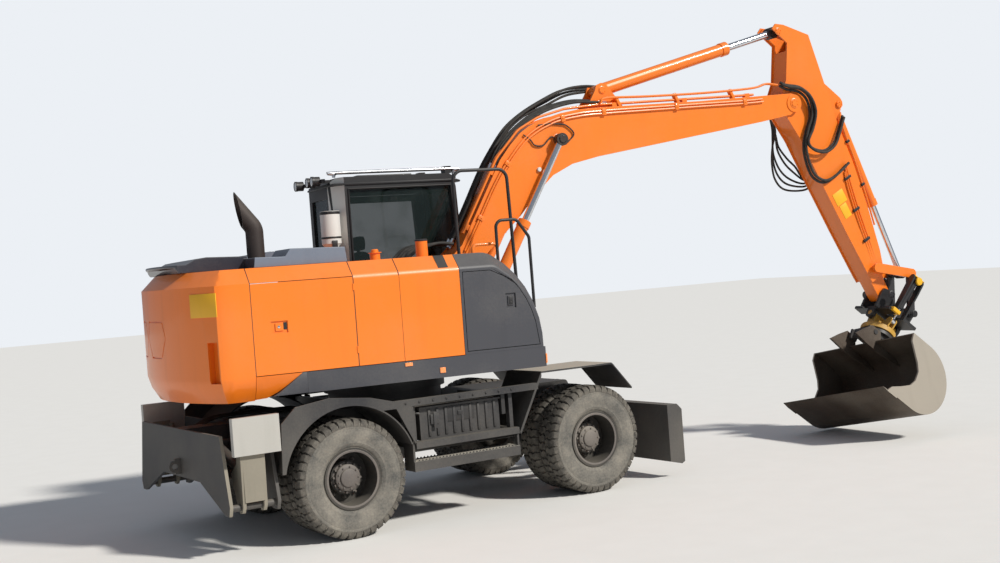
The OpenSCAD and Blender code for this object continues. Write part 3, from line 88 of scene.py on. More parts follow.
# %% [markdown]
# The camera stands where the picture was taken from: low, behind the right rear corner. Its
# turn could be set by hand until the outlines meet. It was worked out from the wheels and the
# cab instead, and is given by three directions: right, down and forward.

# %% Camera
stand = (-8.240, -11.541, 2.294)
eye = bpy.data.cameras.new("eye")
eye.lens, eye.sensor_width = 47.239, 36.0
camera = bpy.data.objects.new("camera", eye)
bpy.context.scene.collection.objects.link(camera)
right = Vector((0.841611, -0.534976, -0.074102))
down = Vector((-0.068653, 0.03012, -0.997186))
forward = Vector((0.535702, 0.84433, -0.011378))
facing = Matrix((right, -down, -forward)).transposed().to_4x4()
camera.matrix_world = moved(*stand) @ facing
bpy.context.scene.camera = camera
bpy.context.scene.view_settings.view_transform = "Standard"
print("camera looks along", forward[:])

# %% [markdown]
# A finish is a tree of shader nodes. Nodes added one by one make long code that hides the
# recipe. Written as plain sums and products a finish reads like its recipe, so a small class
# lets sockets be added, multiplied and clamped as numbers are.


# %% Shader numbers
class Val:
    """A socket in a finish that takes part in sums as a number does."""

    def __init__(self, tree, socket):
        self.tree, self.socket = tree, socket

    def op(self, kind, other=None, swap=False, clamp=False):
        node = self.tree.nodes.new("ShaderNodeMath")
        node.operation, node.use_clamp = kind, clamp
        pair = [self] if other is None else ([other, self] if swap else [self, other])
        for at, item in enumerate(pair):
            if isinstance(item, Val):
                self.tree.links.new(item.socket, node.inputs[at])
            else:
                node.inputs[at].default_value = float(item)
        return Val(self.tree, node.outputs[0])

    def __add__(self, other):
        return self.op("ADD", other)

    def __radd__(self, other):
        return self.op("ADD", other, swap=True)

    def __sub__(self, other):
        return self.op("SUBTRACT", other)

    def __rsub__(self, other):
        return self.op("SUBTRACT", other, swap=True)

    def __mul__(self, other):
        return self.op("MULTIPLY", other)

    def __rmul__(self, other):
        return self.op("MULTIPLY", other, swap=True)

    def __truediv__(self, other):
        return self.op("DIVIDE", other)

    def held(self):
        """Kept between 0 and 1."""
        return self.op("ADD", 0.0, clamp=True)

    def above(self, low, high):
        """0 below low, 1 above high, and even between them."""
        return ((self - low) / (high - low)).held()


print("shader numbers add, subtract, multiply and divide")

# %% [markdown]
# Every finish on the machine is a principled shader with its own colour, roughness and relief.
# What they share is made once, in a second class: the shader, a noise in the object's own
# coordinates, a mix of two colours, and the last step that joins the results to the shader.


# %% A finish
class Finish:
    """A material and the nodes that make it."""

    def __init__(self, name, metallic=0.0, coat=0.0, coat_rough=0.08):
        self.mat = bpy.data.materials.new(name)
        self.mat.use_nodes = True
        self.tree = self.mat.node_tree
        self.shader = self.tree.nodes["Principled BSDF"]
        self.shader.inputs["Metallic"].default_value = metallic
        self.shader.inputs["Coat Weight"].default_value = coat
        self.shader.inputs["Coat Roughness"].default_value = coat_rough
        self.where = self.add("ShaderNodeTexCoord", out="Object")

    def add(self, kind, out=0, props=(), **inputs):
        """A node of that kind, with its inputs set or joined; returns one output."""
        node = self.tree.nodes.new(kind)
        for key, value in dict(props).items():
            setattr(node, key, value)
        for key, value in inputs.items():
            by_number = key[1:].isdigit()
            socket = node.inputs[int(key[1:]) if by_number else key.replace("_", " ")]
            if isinstance(value, Val):
                self.tree.links.new(value.socket, socket)
            else:
                socket.default_value = value
        return Val(self.tree, node.outputs[out])

    def noise(self, scale, detail=3.0, stretch=(1, 1, 1)):
        """Clouds between 0 and 1; a small stretch draws them out along that axis."""
        spread = self.add("ShaderNodeMapping", Vector=self.where, Scale=stretch)
        return self.add("ShaderNodeTexNoise", Vector=spread, Scale=scale, Detail=detail)

    def part(self, vector, axis):
        """One number of a vector."""
        return self.add("ShaderNodeSeparateXYZ", out=axis, Vector=vector)

    def mix(self, share, first, second):
        """The first colour, with that share of the second."""
        props = {"data_type": "RGBA"}
        return self.add("ShaderNodeMix", out=2, props=props, _0=share, _6=first, _7=second)

    def wear(self, colour, rough, bump=None, depth=0.0005):
        """Joins the worked-out colour, roughness and relief to the shader."""
        links = self.tree.links
        links.new(colour.socket, self.shader.inputs["Base Color"])
        links.new(rough.socket, self.shader.inputs["Roughness"])
        if bump is not None:
            relief = self.add("ShaderNodeBump", Height=bump, Distance=depth, Strength=0.6)
            links.new(relief.socket, self.shader.inputs["Normal"])
        return self.mat


print("a finish joins colour, roughness and relief")

# %% [markdown]
# Paint on a working machine is even from afar and lively from close by: a slight orange peel,
# paler dust on what faces up and towards the ground, dark rain streaks down the sides, and
# clean paint between. A painted image would do for one side only. Here dust follows the
# surface's upward tilt, its height and a slow noise, so it falls right on every piece.


# %% Paint
def linear(r, g, b):
    """A colour as it is seen, 0 to 255, as the shader's own numbers."""
    shares = [c / 255 for c in (r, g, b)]
    return tuple(s / 12.92 if s < 0.04 else ((s + 0.055) / 1.055) ** 2.4 for s in shares) + (1.0,)


DUST = linear(172, 164, 150)
# Metres above the ground that splashes reach
SPLASH_TOP = 1.6


def paint(name, colour, rough, dust, low=0.0, coat=0.0, metallic=0.0, peel=0.0003):
    """dust is its share on top, and low the share that splashes up from the ground."""
    f = Finish(name, metallic=metallic, coat=coat)
    slow, fine = f.noise(1.7, 5.0), f.noise(55.0, 4.0)
    runs = f.noise(9.0, 4.0, stretch=(1.0, 1.0, 0.09))
    up = f.part(f.add("ShaderNodeNewGeometry", out="Normal"), 2)
    height = f.part(f.where, 2)
    splash = (1.0 - height / SPLASH_TOP).held() * low
    fallen = up.above(0.1, 1.0) * 0.55
    patches = slow.above(0.35, 0.75) * 0.4
    share = ((fallen + splash + patches + fine * 0.35 - 0.3) * dust).held()
    dark = tuple(c * 0.72 for c in colour[:3]) + (1.0,)
    streaked = f.mix((runs.above(0.52, 0.75) * 0.25).held(), colour, dark)
    tone = f.mix(share, streaked, DUST)
    return f.wear(tone, (rough + share * 0.4 + fine * 0.12).held(), f.noise(260.0, 2.0) + share * fine, peel)


ORANGE = linear(246, 125, 22)
finishes = {
    "orange_paint": paint("orange_paint", ORANGE, 0.32, 0.16, coat=0.35),
    "dark_paint": paint("dark_paint", linear(32, 32, 35), 0.4, 0.15, low=0.8),
    "grey_paint": paint("grey_paint", linear(42, 42, 45), 0.48, 0.34, low=0.5),
    "cover_blue_grey": paint("cover_blue_grey", linear(112, 122, 138), 0.38, 0.3, coat=0.2),
    # The rims' near-black colour is painted shade, for the shadow in their deep wells.
    "rim_paint": paint("rim_paint", linear(28, 27, 27), 0.6, 0.34, low=0.4),
    "storage_plastic": paint("storage_plastic", linear(66, 67, 73), 0.42, 0.26, peel=0.0006),
    "bucket_steel": paint("bucket_steel", linear(66, 54, 44), 0.55, 0.6, low=0.2, metallic=0.25),
    "tilt_yellow": paint("tilt_yellow", linear(196, 150, 52), 0.45, 0.4),
    "leg_paint": paint("leg_paint", linear(128, 122, 108), 0.55, 0.5, low=0.5),
    "cast_engine": paint("cast_engine", linear(60, 60, 62), 0.6, 0.4),
    "exhaust_steel": paint("exhaust_steel", linear(62, 54, 52), 0.55, 0.3, metallic=0.4),
}
print("paints", len(finishes))

# %% [markdown]
# Chrome rods, rubber, glass and cloth each have their own recipe. Chrome is a metal with dull
# patches. Rubber is nearly black and dusty. Real glass would need refraction, which is slow and
# noisy, so the tinted panes are partly clear instead and let the cab show. Cloth has a weave.


# %% Chrome, rubber, glass and cloth
def chrome():
    """Polished rods with a little wear."""
    f = Finish("chrome_rod", metallic=1.0)
    dull = f.noise(30.0, 3.0)
    tone = f.mix(dull.above(0.4, 0.8) * 0.35, linear(226, 228, 232), linear(160, 158, 152))
    return f.wear(tone, 0.1 + dull * 0.18, f.noise(400.0, 1.0), 0.00005)


def rubber(name, colour, dust, scale=18.0):
    """Dull rubber under patches of dust; a small scale makes the patches large."""
    f = Finish(name)
    slow, fine = f.noise(scale, 5.0), f.noise(scale * 9, 3.0)
    share = ((slow * 0.9 + fine * 0.5 - 0.42) * dust).held()
    return f.wear(f.mix(share, colour, DUST), 0.78 + share * 0.15, fine, 0.0008)


def glass():
    """Tinted panes with dried smears."""
    f = Finish("cab_glass")
    smear = f.noise(2.2, 5.0)
    tone = f.mix(smear.above(0.45, 0.8) * 0.4, linear(26, 36, 34), linear(74, 84, 80))
    f.wear(tone, 0.03 + smear.above(0.5, 0.9) * 0.25, smear, 0.0001)
    opacity = 0.7 + smear.above(0.45, 0.9) * 0.25
    f.tree.links.new(opacity.socket, f.shader.inputs["Alpha"])
    return f.mat


def cloth():
    """A woven seat cover, worn paler in places."""
    f = Finish("seat_cloth")
    x, z = f.part(f.where, 0), f.part(f.where, 2)
    threads = 2200.0
    weave = ((x * threads).op("SINE") * (z * threads).op("SINE")) * 0.5 + 0.5
    worn = f.noise(7.0, 4.0).above(0.3, 0.8) * 0.5
    f.shader.inputs["Sheen Weight"].default_value = 0.3
    return f.wear(f.mix(worn, linear(44, 44, 50), linear(78, 76, 80)), 0.85 + weave * 0.1, weave, 0.0006)


finishes["bare_steel"] = chrome()
finishes["tyre"] = rubber("tyre_rubber", linear(46, 46, 46), 0.75)
finishes["hose"] = rubber("hose_rubber", linear(26, 26, 28), 0.22)
finishes["glass"] = glass()
finishes["seat"] = cloth()
print("finishes", sorted(finishes))

# %% [markdown]
# Solids have edges as sharp as a knife, which never catch light. Each painted node is copied,
# its flat triangles are joined and its edges rounded by a bevel modifier, and the copy stands
# in for the node. Its normals are weighted by area, so that wide panels stay flat beside their
# round edges.


# %% Soft edges
def smooth(mesh, deg=34):
    """Shades faces as one curve, apart from edges sharper than so many degrees."""
    mesh.polygons.foreach_set("use_smooth", [True] * len(mesh.polygons))
    mesh.set_sharp_from_angle(angle=math.radians(deg))
    return mesh


def linked(name, mesh):
    """A new object in the scene."""
    ob = bpy.data.objects.new(name, mesh)
    bpy.context.scene.collection.objects.link(ob)
    return ob


def baked(ob):
    """The object's mesh with its modifiers applied and removed."""
    graph = bpy.context.evaluated_depsgraph_get()
    mesh = bpy.data.meshes.new_from_object(ob.evaluated_get(graph))
    ob.modifiers.clear()
    ob.data = mesh
    return mesh


slot_of = {s["node"]: s["material_slot"] for s in frame["record"]["subparts"]}
body_of = {n: b for b, group in frame["record"]["behaviour"]["bodies"].items() for n in group}


def rounded(ob, width):
    """The object with its edges rounded by so many metres."""
    bevel = ob.modifiers.new("round", "BEVEL")
    bevel.width, bevel.segments, bevel.limit_method = width, 2, "ANGLE"
    bevel.angle_limit, bevel.harden_normals = math.radians(35), False
    return baked(ob)


print("nodes with a slot", len(slot_of), "and a body", len(body_of))

# %% [markdown]
# Two edges on the right side are rounder than the rest: the shoulder above the orange panels
# and the bends on the outer side of the storage box. They are found by their place and by the
# angle between their faces, and get a wider bevel before the modifier rounds what is left.


# %% Nodes with soft edges
SHOULDER_Z = 2307
# The tail's shallow facets are shaded as one curve up to this many degrees
CREASES = {"counterweight": 62}
# Width of the wide bevel in metres, and which edges take it, in the upper structure's place
wide = {"body_panels": (0.03, lambda p: abs(p.z - SHOULDER_Z) < 3 and p.y < 0),
        "storage_box": (0.02, lambda p: p.y < -1230)}
from_upper = UPPER.inverted()


def middle(edge):
    """The point halfway along an edge."""
    return (edge.verts[0].co + edge.verts[1].co) / 2


def is_bend(edge):
    """Whether two faces meet there at between about 30 and 60 degrees."""
    return len(edge.link_faces) == 2 and 0.5 < edge.calc_face_angle() < 1.1


def soften(node, width):
    """The node's stand-in, with rounded edges and its finish."""
    bm = bmesh.new()
    bm.from_mesh(nodes[node].data)
    bmesh.ops.remove_doubles(bm, verts=bm.verts, dist=1e-5)
    bmesh.ops.dissolve_limit(bm, angle_limit=math.radians(0.6), verts=bm.verts, edges=bm.edges)
    if node in wide:
        offset, chosen = wide[node]
        bends = [e for e in bm.edges if is_bend(e) and chosen(from_upper @ middle(e))]
        bmesh.ops.bevel(bm, geom=bends, offset=offset, segments=4, profile=0.5, affect="EDGES",
                        clamp_overlap=False)
    mesh = bpy.data.meshes.new(node + "_soft")
    bm.to_mesh(mesh)
    bm.free()
    mesh.materials.clear()
    mesh.materials.append(finishes[slot_of[node]])
    ob = linked(node + "_soft", mesh)
    smooth(rounded(ob, width), CREASES.get(node, 34))
    ob.modifiers.new("even", "WEIGHTED_NORMAL").keep_sharp = True
    baked(ob)
    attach(ob, body_of[node])
    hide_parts(node)
    return ob


print("wide bevels on", sorted(wide))

# %% [markdown]
# Every node but a few is softened. The width of the rounding is what tells a cast or moulded
# piece from sheet: 3 mm on pressed steel, up to 12 mm on the moulded covers. Tyres and seat get
# stand-ins of their own further down, and the panes and the engine keep their edges.

# %% All nodes softened
plain = [n for n in nodes if n.startswith(("tyres", "cab_glass", "operator_seat", "engine_block"))]
widths = {"counterweight": 0.004, "boom": 0.004, "arm": 0.004, "storage_box": 0.008, "body_panels": 0.005,
          "service_door_right": 0.006, "service_door_left": 0.006, "cab_shell": 0.008, "engine_hood": 0.012,
          "deck_cover": 0.012, "bucket": 0.004}
soft = {n: soften(n, widths.get(n, 0.003)) for n in nodes if n not in plain}
for n in plain:
    nodes[n].data.materials.clear()
    nodes[n].data.materials.append(finishes[slot_of[n]])
triangles = sum(len(p.vertices) - 2 for ob in soft.values() for p in ob.data.polygons)
print("softened", len(soft), "triangles", triangles)

# %% [markdown]
# Small fittings are boxes, prisms, rods, tubes and turned profiles. Blender's own primitives
# would make one object each, so a small class draws them in millimetres into one mesh. All of
# them are rings of points with faces between one ring and the next.


# %% Shapes for fittings
class Shape:
    """Solids in a part's own millimetres, gathered into one mesh."""

    def __init__(self):
        self.bm = bmesh.new()

    def skin(self, rings, caps=True):
        """Faces between neighbouring rings of points, and one over each end."""
        rows = [[self.bm.verts.new(p) for p in ring] for ring in rings]
        n = len(rows[0])
        for a, b in zip(rows, rows[1:]):
            for i in range(n):
                self.bm.faces.new((a[i], a[(i + 1) % n], b[(i + 1) % n], b[i]))
        if caps:
            self.bm.faces.new(rows[0][::-1])
            self.bm.faces.new(rows[-1])
        return self

    def prism(self, points, low, high, axis="y"):
        """A flat outline drawn out along an axis from low to high."""
        put = {"x": lambda a, b, t: (t, a, b),
               "y": lambda a, b, t: (a, t, b),
               "z": lambda a, b, t: (a, b, t)}[axis]
        return self.skin([[put(a, b, t) for a, b in points] for t in (low, high)])

    def box(self, low, high):
        """A box between two corners."""
        (x0, y0, z0), (x1, y1, z1) = low, high
        return self.prism([(x0, z0), (x1, z0), (x1, z1), (x0, z1)], y0, y1)

    def rod(self, start, end, r, r_end=None, sides=20):
        """A round rod, or a cone where its end has another radius."""
        start, end = Vector(start), Vector(end)
        way = end - start
        side = way.orthogonal().normalized()
        across = way.cross(side).normalized()
        turn = [2 * math.pi * i / sides for i in range(sides)]
        rings = [[p + (side * math.cos(t) + across * math.sin(t)) * q for t in turn]
                 for p, q in ((start, r), (end, r if r_end is None else r_end))]
        return self.skin(rings)

    def hose(self, points, r, sides=10, steps=6):
        """A tube along a smooth line through the points."""
        p = [Vector(q) for q in points]
        p = [p[0] * 2 - p[1]] + p + [p[-1] * 2 - p[-2]]
        line = []
        for i in range(1, len(p) - 2):
            for s in range(steps):
                t = s / steps
                line.append(0.5 * (2 * p[i] + (p[i + 1] - p[i - 1]) * t
                                   + (2 * p[i - 1] - 5 * p[i] + 4 * p[i + 1] - p[i + 2]) * t * t
                                   + (3 * p[i] - p[i - 1] - 3 * p[i + 1] + p[i + 2]) * t ** 3))
        line.append(p[-2])
        side = (line[1] - line[0]).orthogonal().normalized()
        turn = [2 * math.pi * i / sides for i in range(sides)]
        rings = []
        for i, q in enumerate(line):
            way = (line[min(i + 1, len(line) - 1)] - line[max(i - 1, 0)]).normalized()
            side = (side - way * side.dot(way)).normalized()
            across = way.cross(side)
            rings.append([q + (side * math.cos(a) + across * math.sin(a)) * r for a in turn])
        return self.skin(rings)

    def lathe(self, profile, centre=(0, 0, 0), axis="y", steps=48):
        """A profile of (radius, distance along the axis), turned round it."""
        c = Vector(centre)
        put = {"x": lambda r, t, a: (t, r * math.cos(a), r * math.sin(a)),
               "y": lambda r, t, a: (r * math.sin(a), t, r * math.cos(a)),
               "z": lambda r, t, a: (r * math.cos(a), r * math.sin(a), t)}[axis]
        turn = [2 * math.pi * i / steps for i in range(steps)]
        return self.skin([[c + Vector(put(r, t, a)) for a in turn] for r, t in profile], caps=False)

    def mesh(self, name):
        """The finished mesh, with its faces pointing outwards."""
        bmesh.ops.recalc_face_normals(self.bm, faces=self.bm.faces)
        mesh = bpy.data.meshes.new(name)
        self.bm.to_mesh(mesh)
        self.bm.free()
        return mesh


print("shapes: box, prism, rod, hose, lathe")

# %% [markdown]
# A shape becomes a piece of the machine in one step: its mesh is put at its place, its edges are rounded
# where they show, and it gets its finish. It rides on the body that carries it, so that it moves with the
# joint.


# %% A piece on its body
def piece(name, shape, place, body, finish, bevel=0.0, deg=34):
    """The shape as an object at its place; without a body it rides on none."""
    mesh = shape.mesh(name)
    mesh.transform(place)
    mesh.materials.append(finish)
    ob = linked(name, mesh)
    if bevel:
        rounded(ob, bevel)
    smooth(ob.data, deg)
    if body:
        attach(ob, body)
    return ob


# %% [markdown]
# A tyre carries the same bar forty-two times on each shoulder. A loop in Python could place
# them, but a node tree does it in one go and its inputs can be changed later. Geometry Nodes
# set copies round a ring or along a row: points are made by count and placed by their index,
# and each takes a turned copy, which is made real and given its finish before it is kept.


# %% Copies round a ring and along a row
def copy_tree(name, ring):
    """A tree that copies a shape round the Y axis, or along a row by equal steps."""
    tree = bpy.data.node_groups.new(name, "GeometryNodeTree")
    face = tree.interface
    face.new_socket("Copy", in_out="INPUT", socket_type="NodeSocketGeometry")
    face.new_socket("Count", in_out="INPUT", socket_type="NodeSocketInt")
    face.new_socket("Radius" if ring else "Step", in_out="INPUT",
                    socket_type="NodeSocketFloat" if ring else "NodeSocketVector")
    face.new_socket("Start", in_out="INPUT", socket_type="NodeSocketFloat")
    face.new_socket("Finish", in_out="INPUT", socket_type="NodeSocketMaterial")
    face.new_socket("Copies", in_out="OUTPUT", socket_type="NodeSocketGeometry")
    new, join = tree.nodes.new, tree.links.new
    given, result = new("NodeGroupInput"), new("NodeGroupOutput")
    index = Val(tree, new("GeometryNodeInputIndex").outputs[0])
    count = Val(tree, given.outputs["Count"])
    points, spread = new("GeometryNodePoints"), new("GeometryNodeInstanceOnPoints")
    place = new("ShaderNodeCombineXYZ")
    if ring:
        angle = index / count * (2 * math.pi) + Val(tree, given.outputs["Start"])
        radius = Val(tree, given.outputs["Radius"])
        join((angle.op("SINE") * radius).socket, place.inputs[0])
        join((angle.op("COSINE") * radius).socket, place.inputs[2])
        euler, turn = new("ShaderNodeCombineXYZ"), new("FunctionNodeEulerToRotation")
        join(angle.socket, euler.inputs[1])
        join(euler.outputs[0], turn.inputs[0])
        join(turn.outputs[0], spread.inputs["Rotation"])
    else:
        apart = new("ShaderNodeSeparateXYZ")
        join(given.outputs["Step"], apart.inputs[0])
        for axis in range(3):
            join((index * Val(tree, apart.outputs[axis])).socket, place.inputs[axis])
    join(given.outputs["Count"], points.inputs["Count"])
    join(place.outputs[0], points.inputs["Position"])
    real, finish = new("GeometryNodeRealizeInstances"), new("GeometryNodeSetMaterial")
    join(points.outputs[0], spread.inputs["Points"])
    join(given.outputs["Copy"], spread.inputs["Instance"])
    join(spread.outputs[0], real.inputs[0])
    join(real.outputs[0], finish.inputs["Geometry"])
    join(given.outputs["Finish"], finish.inputs["Material"])
    join(finish.outputs[0], result.inputs[0])
    return tree


RING, ROW = copy_tree("ring_of_copies", True), copy_tree("row_of_copies", False)
print("trees", RING.name, ROW.name)

# %% [markdown]
# The tree is put on one copy as a modifier, and its inputs are set by their identifiers. The
# result is kept as a plain mesh and the modifier removed, so that nothing is left to work out.
# Such a mesh can then be absorbed by a shape, as often as the machine has it.


# %% Copies as a mesh
def copies(shape, tree, finish, **given):
    """The mesh of a shape's copies, still in millimetres."""
    ob = linked("copy", shape.mesh("copy"))
    many = ob.modifiers.new("copies", "NODES")
    many.node_group = tree
    ids = {s.name: s.identifier for s in tree.interface.items_tree if s.in_out == "INPUT"}
    for key, value in dict(given, Finish=finish).items():
        many[ids[key]] = value
    mesh = baked(ob)
    bpy.data.objects.remove(ob)
    return mesh


def absorb(shape, mesh, matrix=Matrix.Identity(4)):
    """Adds a finished mesh to a shape."""
    mesh = mesh.copy()
    mesh.transform(matrix)
    shape.bm.from_mesh(mesh)


print("copies are kept as meshes")

# %% [markdown]
# Each wheel has two narrow tyres with a gap. A carcass is one profile turned round its axle, with
# ribs at the bead and on the sidewall. The tread has zigzag bars that run out over the shoulder
# and leave a toothed outline, as on construction tyres. Relief in the material would leave that
# outline round, so one bar is drawn and copied round the tyre. Dust lies paler on the sidewalls.

# %% Tyres with tread
# Millimetres: the axles from the slewing axis, the tyre's radius, and the twins' middles
AXLES, TYRE_R, TWINS = {"f": 1653, "r": -997}, 530, (1112, 792)
# Metres from the axle beyond which a face belongs to the tread
TREAD_FROM = 0.497
# Half a carcass: its radius, and how far it is from the tyre's middle
HALF = [(257, 99), (279, 101), (284, 107), (296, 116), (306, 121), (318, 127), (326, 126), (352, 133),
        (388, 137), (430, 137), (440, 134), (446, 136), (474, 131), (494, 124), (506, 106), (512, 60),
        (513, 0)]
PROFILE = HALF + [(r, -y) for r, y in HALF[-2::-1]]


def station(node):
    """A wheel's place along the chassis, and 1 on the left or -1 on the right."""
    end, hand = node.split("_")[1]
    return AXLES[end], 1 if hand == "l" else -1


def tread_bar(side):
    """One zigzag bar at the top of the tyre, from the middle out over the shoulder."""
    # How far out, how far round, and the height of its foot and of its top
    stations = [(5, 0, 509, 529), (38, 13, 509, 529), (74, -3, 508, 528.5), (106, 10, 500, 525),
                (127, 8, 484, 510), (137, 6, 462, 488)]
    half = 29
    rings = [[(s * half + lean, side * y, z)
              for s, z in ((-1.1, low), (1.1, low), (0.92, top), (-0.92, top))]
             for y, lean, low, top in stations]
    return Shape().skin(rings)


RUBBER = rubber("tread_rubber", linear(46, 44, 42), 0.7)
WALL = rubber("sidewall_rubber", linear(74, 74, 72), 1.0, scale=6.0)
for node in [n for n in nodes if n.startswith("tyres")]:
    x, hand = station(node)
    shape = Shape()
    bars = [copies(tread_bar(s), RING, RUBBER, Count=42, Radius=0.0, Start=s * 0.037) for s in (-1, 1)]
    for y in TWINS:
        shape.lathe(PROFILE + PROFILE[:1], (0, hand * y, 0), steps=84)
        for mesh in bars:
            absorb(shape, mesh, moved(0, hand * y, 0))
    place = CHASSIS @ moved(x, 0, TYRE_R)
    tyre = piece(node + "_tread", shape, place, body_of[node], WALL, deg=30)
    tyre.data.materials.append(RUBBER)
    for face in tyre.data.polygons:
        out = face.center - place.translation
        if math.hypot(out.x, out.z) > TREAD_FROM:
            face.material_index = 1
    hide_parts(node)
    print(tyre.name, len(tyre.data.polygons))

# %% [markdown]
# The outer rim is a deep well, and its near-black paint is painted shade. Its planet hub stands out of it as
# a drum with a bolted cover, dusty on its top half. Two rings of bolts hold the cover, a ring of wheel nuts
# holds the disc, and a lock ring lies round the rim's edge. All is turned, so a profile each is enough.

# %% Hubs and wheel nuts
HUB = paint("hub_cover", linear(88, 82, 80), 0.5, 0.6, low=0.3)
DARK = finishes["dark_paint"]
DRUM = [(0, 1150), (70, 1150), (78, 1146), (82, 1132), (112, 1128), (119, 1121), (121, 1090), (138, 1088),
        (138, 1020), (128, 1016), (0, 1016)]
LOCK_RING = [(236, 1228), (252, 1230), (258, 1226), (252, 1219), (238, 1221), (236, 1228)]
COVER_BOLT = [(0, 1139), (7, 1139), (9, 1136), (9, 1124), (0, 1124)]
DRUM_BOLT = [(0, 1108), (10, 1108), (12, 1104), (12, 1086), (0, 1086)]
WHEEL_NUT = [(0, 1042), (7, 1042), (9, 1034), (13, 1031), (13, 1014), (18, 1012), (18, 1000), (0, 1000)]
# Profile, how many, radius of their ring, and the first one's angle
BOLT_RINGS = [(COVER_BOLT, 9, 98.0, 0.2), (DRUM_BOLT, 12, 130.0, 0.1), (WHEEL_NUT, 10, 178.0, 0.0)]


def bolt(profile):
    """A six-sided bolt round the Y axis."""
    return Shape().lathe(profile, steps=6)


rims = [n for n in nodes if n.startswith("rims")]
for node in rims:
    x, hand = station(node)
    shape = Shape().lathe(DRUM, steps=64)
    for profile, count, radius, start in BOLT_RINGS:
        absorb(shape, copies(bolt(profile), RING, HUB, Count=count, Radius=radius, Start=start))
    shape.lathe(LOCK_RING, steps=72)
    if hand < 0:
        bmesh.ops.scale(shape.bm, vec=(1, -1, 1), verts=shape.bm.verts)
    piece(node + "_hub", shape, CHASSIS @ moved(x, 0, TYRE_R), body_of[node], HUB, deg=40)
print("hubs", len(rims))

# %% [markdown]
# Hydraulic hoses run from the boom's pipes to the arm in long loops, so they can follow the joint. Each is a
# tube along a smooth line, set at its place. A rigid one would tear off when the arm swings, yet these ride
# on no body.

# %% Hoses at the arm's joint
HOSE = finishes["hose"]


def crossing(name, line, r, place, start, end, sides=10):
    """A hose along the line at its place, riding on no body; start and end are not used."""
    ob = piece(name, Shape().hose(line, r, sides), place, None, HOSE)
    tuple(place @ Vector(start))
    tuple(place @ Vector(end))
    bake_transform(ob)


OUTER = [(-290, -168, -30), (-227, -186, 22), (-125, -204, 154), (18, -208, 226), (199, -208, 201),
         (343, -208, 62), (440, -208, -81), (561, -208, -62), (667, -206, 71), (667, -196, 245),
         (577, -180, 404), (467, -166, 560)]
INNER = [(-260, -160, -50), (-180, -172, 10), (-75, -178, 140), (67, -178, 191), (242, -178, 124),
         (374, -178, -36), (524, -178, -162), (755, -178, -225), (894, -176, -201), (996, -172, -94),
         (1010, -166, 102), (985, -160, 300)]
LOOPS = {"hose_outer": OUTER, "hose_inner": INNER,
         "hose_outer_twin": [(x + 16, y - 34, z - 14) for x, y, z in OUTER],
         "hose_inner_twin": [(x - 14, y - 34, z + 20) for x, y, z in INNER]}
# On the left five hoses hang in a fan between its lowest and its highest line
LOWEST = [(-60, -110), (218, -141), (365, -281), (525, -396), (714, -461), (886, -400), (1033, -146),
          (1005, 20)]
HIGHEST = [(-60, -90), (150, -118), (290, -140), (426, -178), (601, -147), (745, -95), (894, -74),
           (997, -10)]
for k in range(5):
    LOOPS["hose_left_%d" % k] = [
        (a + (c - a) * k / 4, 160 + (26 * k) % 60 * min(1, i, 7 - i), b + (d - b) * k / 4)
        for i, ((a, b), (c, d)) in enumerate(zip(LOWEST, HIGHEST))]
for name, line in LOOPS.items():
    r = 12 if "left" in name else 16
    crossing(name, line, r, ARM, line[1], line[-3])
print("hoses", len(LOOPS))

# %% [markdown]
# Where the hoses end, steel pipes go on along the arm's right side under clips. They are tubes
# along a line too, painted with the arm, and ride on it alone.

# %% Pipes on the arm
ORANGE_PAINT = finishes["orange_paint"]
pipes = Shape()
for x, z in ((984, 300), (1010, 268), (1040, 236)):
    pipes.hose([(x, -156, z), (1227, -156, z - 60), (1601, -152, z - 130), (1927, -142, z - 175),
                (2150, -136, z - 215)], 11)
pipes.hose([(425, -160, 560), (470, -158, 520), (700, -158, 480), (1023, -156, 440), (1400, -152, 372),
            (1800, -146, 290)], 11)
piece("arm_pipes", pipes, ARM, "arm", ORANGE_PAINT)
clips = Shape()
for x, z, tall in ((1120, 236, 50), (1500, 145, 50), (1880, 85, 50), (760, 470, 24), (1300, 392, 24)):
    clips.box((x - 16, -170, z - tall), (x + 16, -138, z + tall))
piece("arm_pipe_clips", clips, ARM, "arm", DARK, bevel=0.003)
print("pipes on the arm", 4)

# %% [markdown]
# More hoses climb from the deck to the foot of the boom, past its hinge. They hang in open curves between a
# valve block on the deck and the pipes on the boom's back, and ride on no body either.

# %% Hoses at the boom's foot
valves = Shape().box((-40, -210, 1402), (150, 210, 1620))
for k in range(5):
    y = -150 + 74 * k
    line = [(40, y, 1600), (130, y, 1900), (170 - 16 * k, y, 2200), (330, y, 2470 + 12 * k), (600, y, 2570),
            (800, y + 8, 2560)]
    crossing("boom_hose_%d" % k, line, 15, UPPER, (150, 0, 2000), (700, 0, 2560))
    valves.rod((40, y, 1615), (40, y, 1680), 24, 20, 8)
piece("valve_block", valves, UPPER, "upper", DARK, bevel=0.006)
print("boom hoses", 5)

# %% [markdown]
# Some castings carry more than one colour: the foot pads of the legs are galvanised and pale, and the grease
# pot is white. The ends of the bucket are painted pale grey as painted light, for the sun on their plates.
# Cutting the mesh would change its shape, so the faces that lie inside a region take a second finish.


# %% Second finishes by region
def recolour(node, place, finish, test):
    """Faces whose middle, in the part's millimetres, passes the test take the finish."""
    mesh = soft[node].data
    mesh.materials.append(finish)
    from_place = place.inverted()
    for face in mesh.polygons:
        if test(*(from_place @ face.center)):
            face.material_index = len(mesh.materials) - 1


def near(pin, r):
    """Within r of the pin, seen from the side."""
    return lambda x, y, z: math.hypot(x - pin[0], z - pin[1]) < r


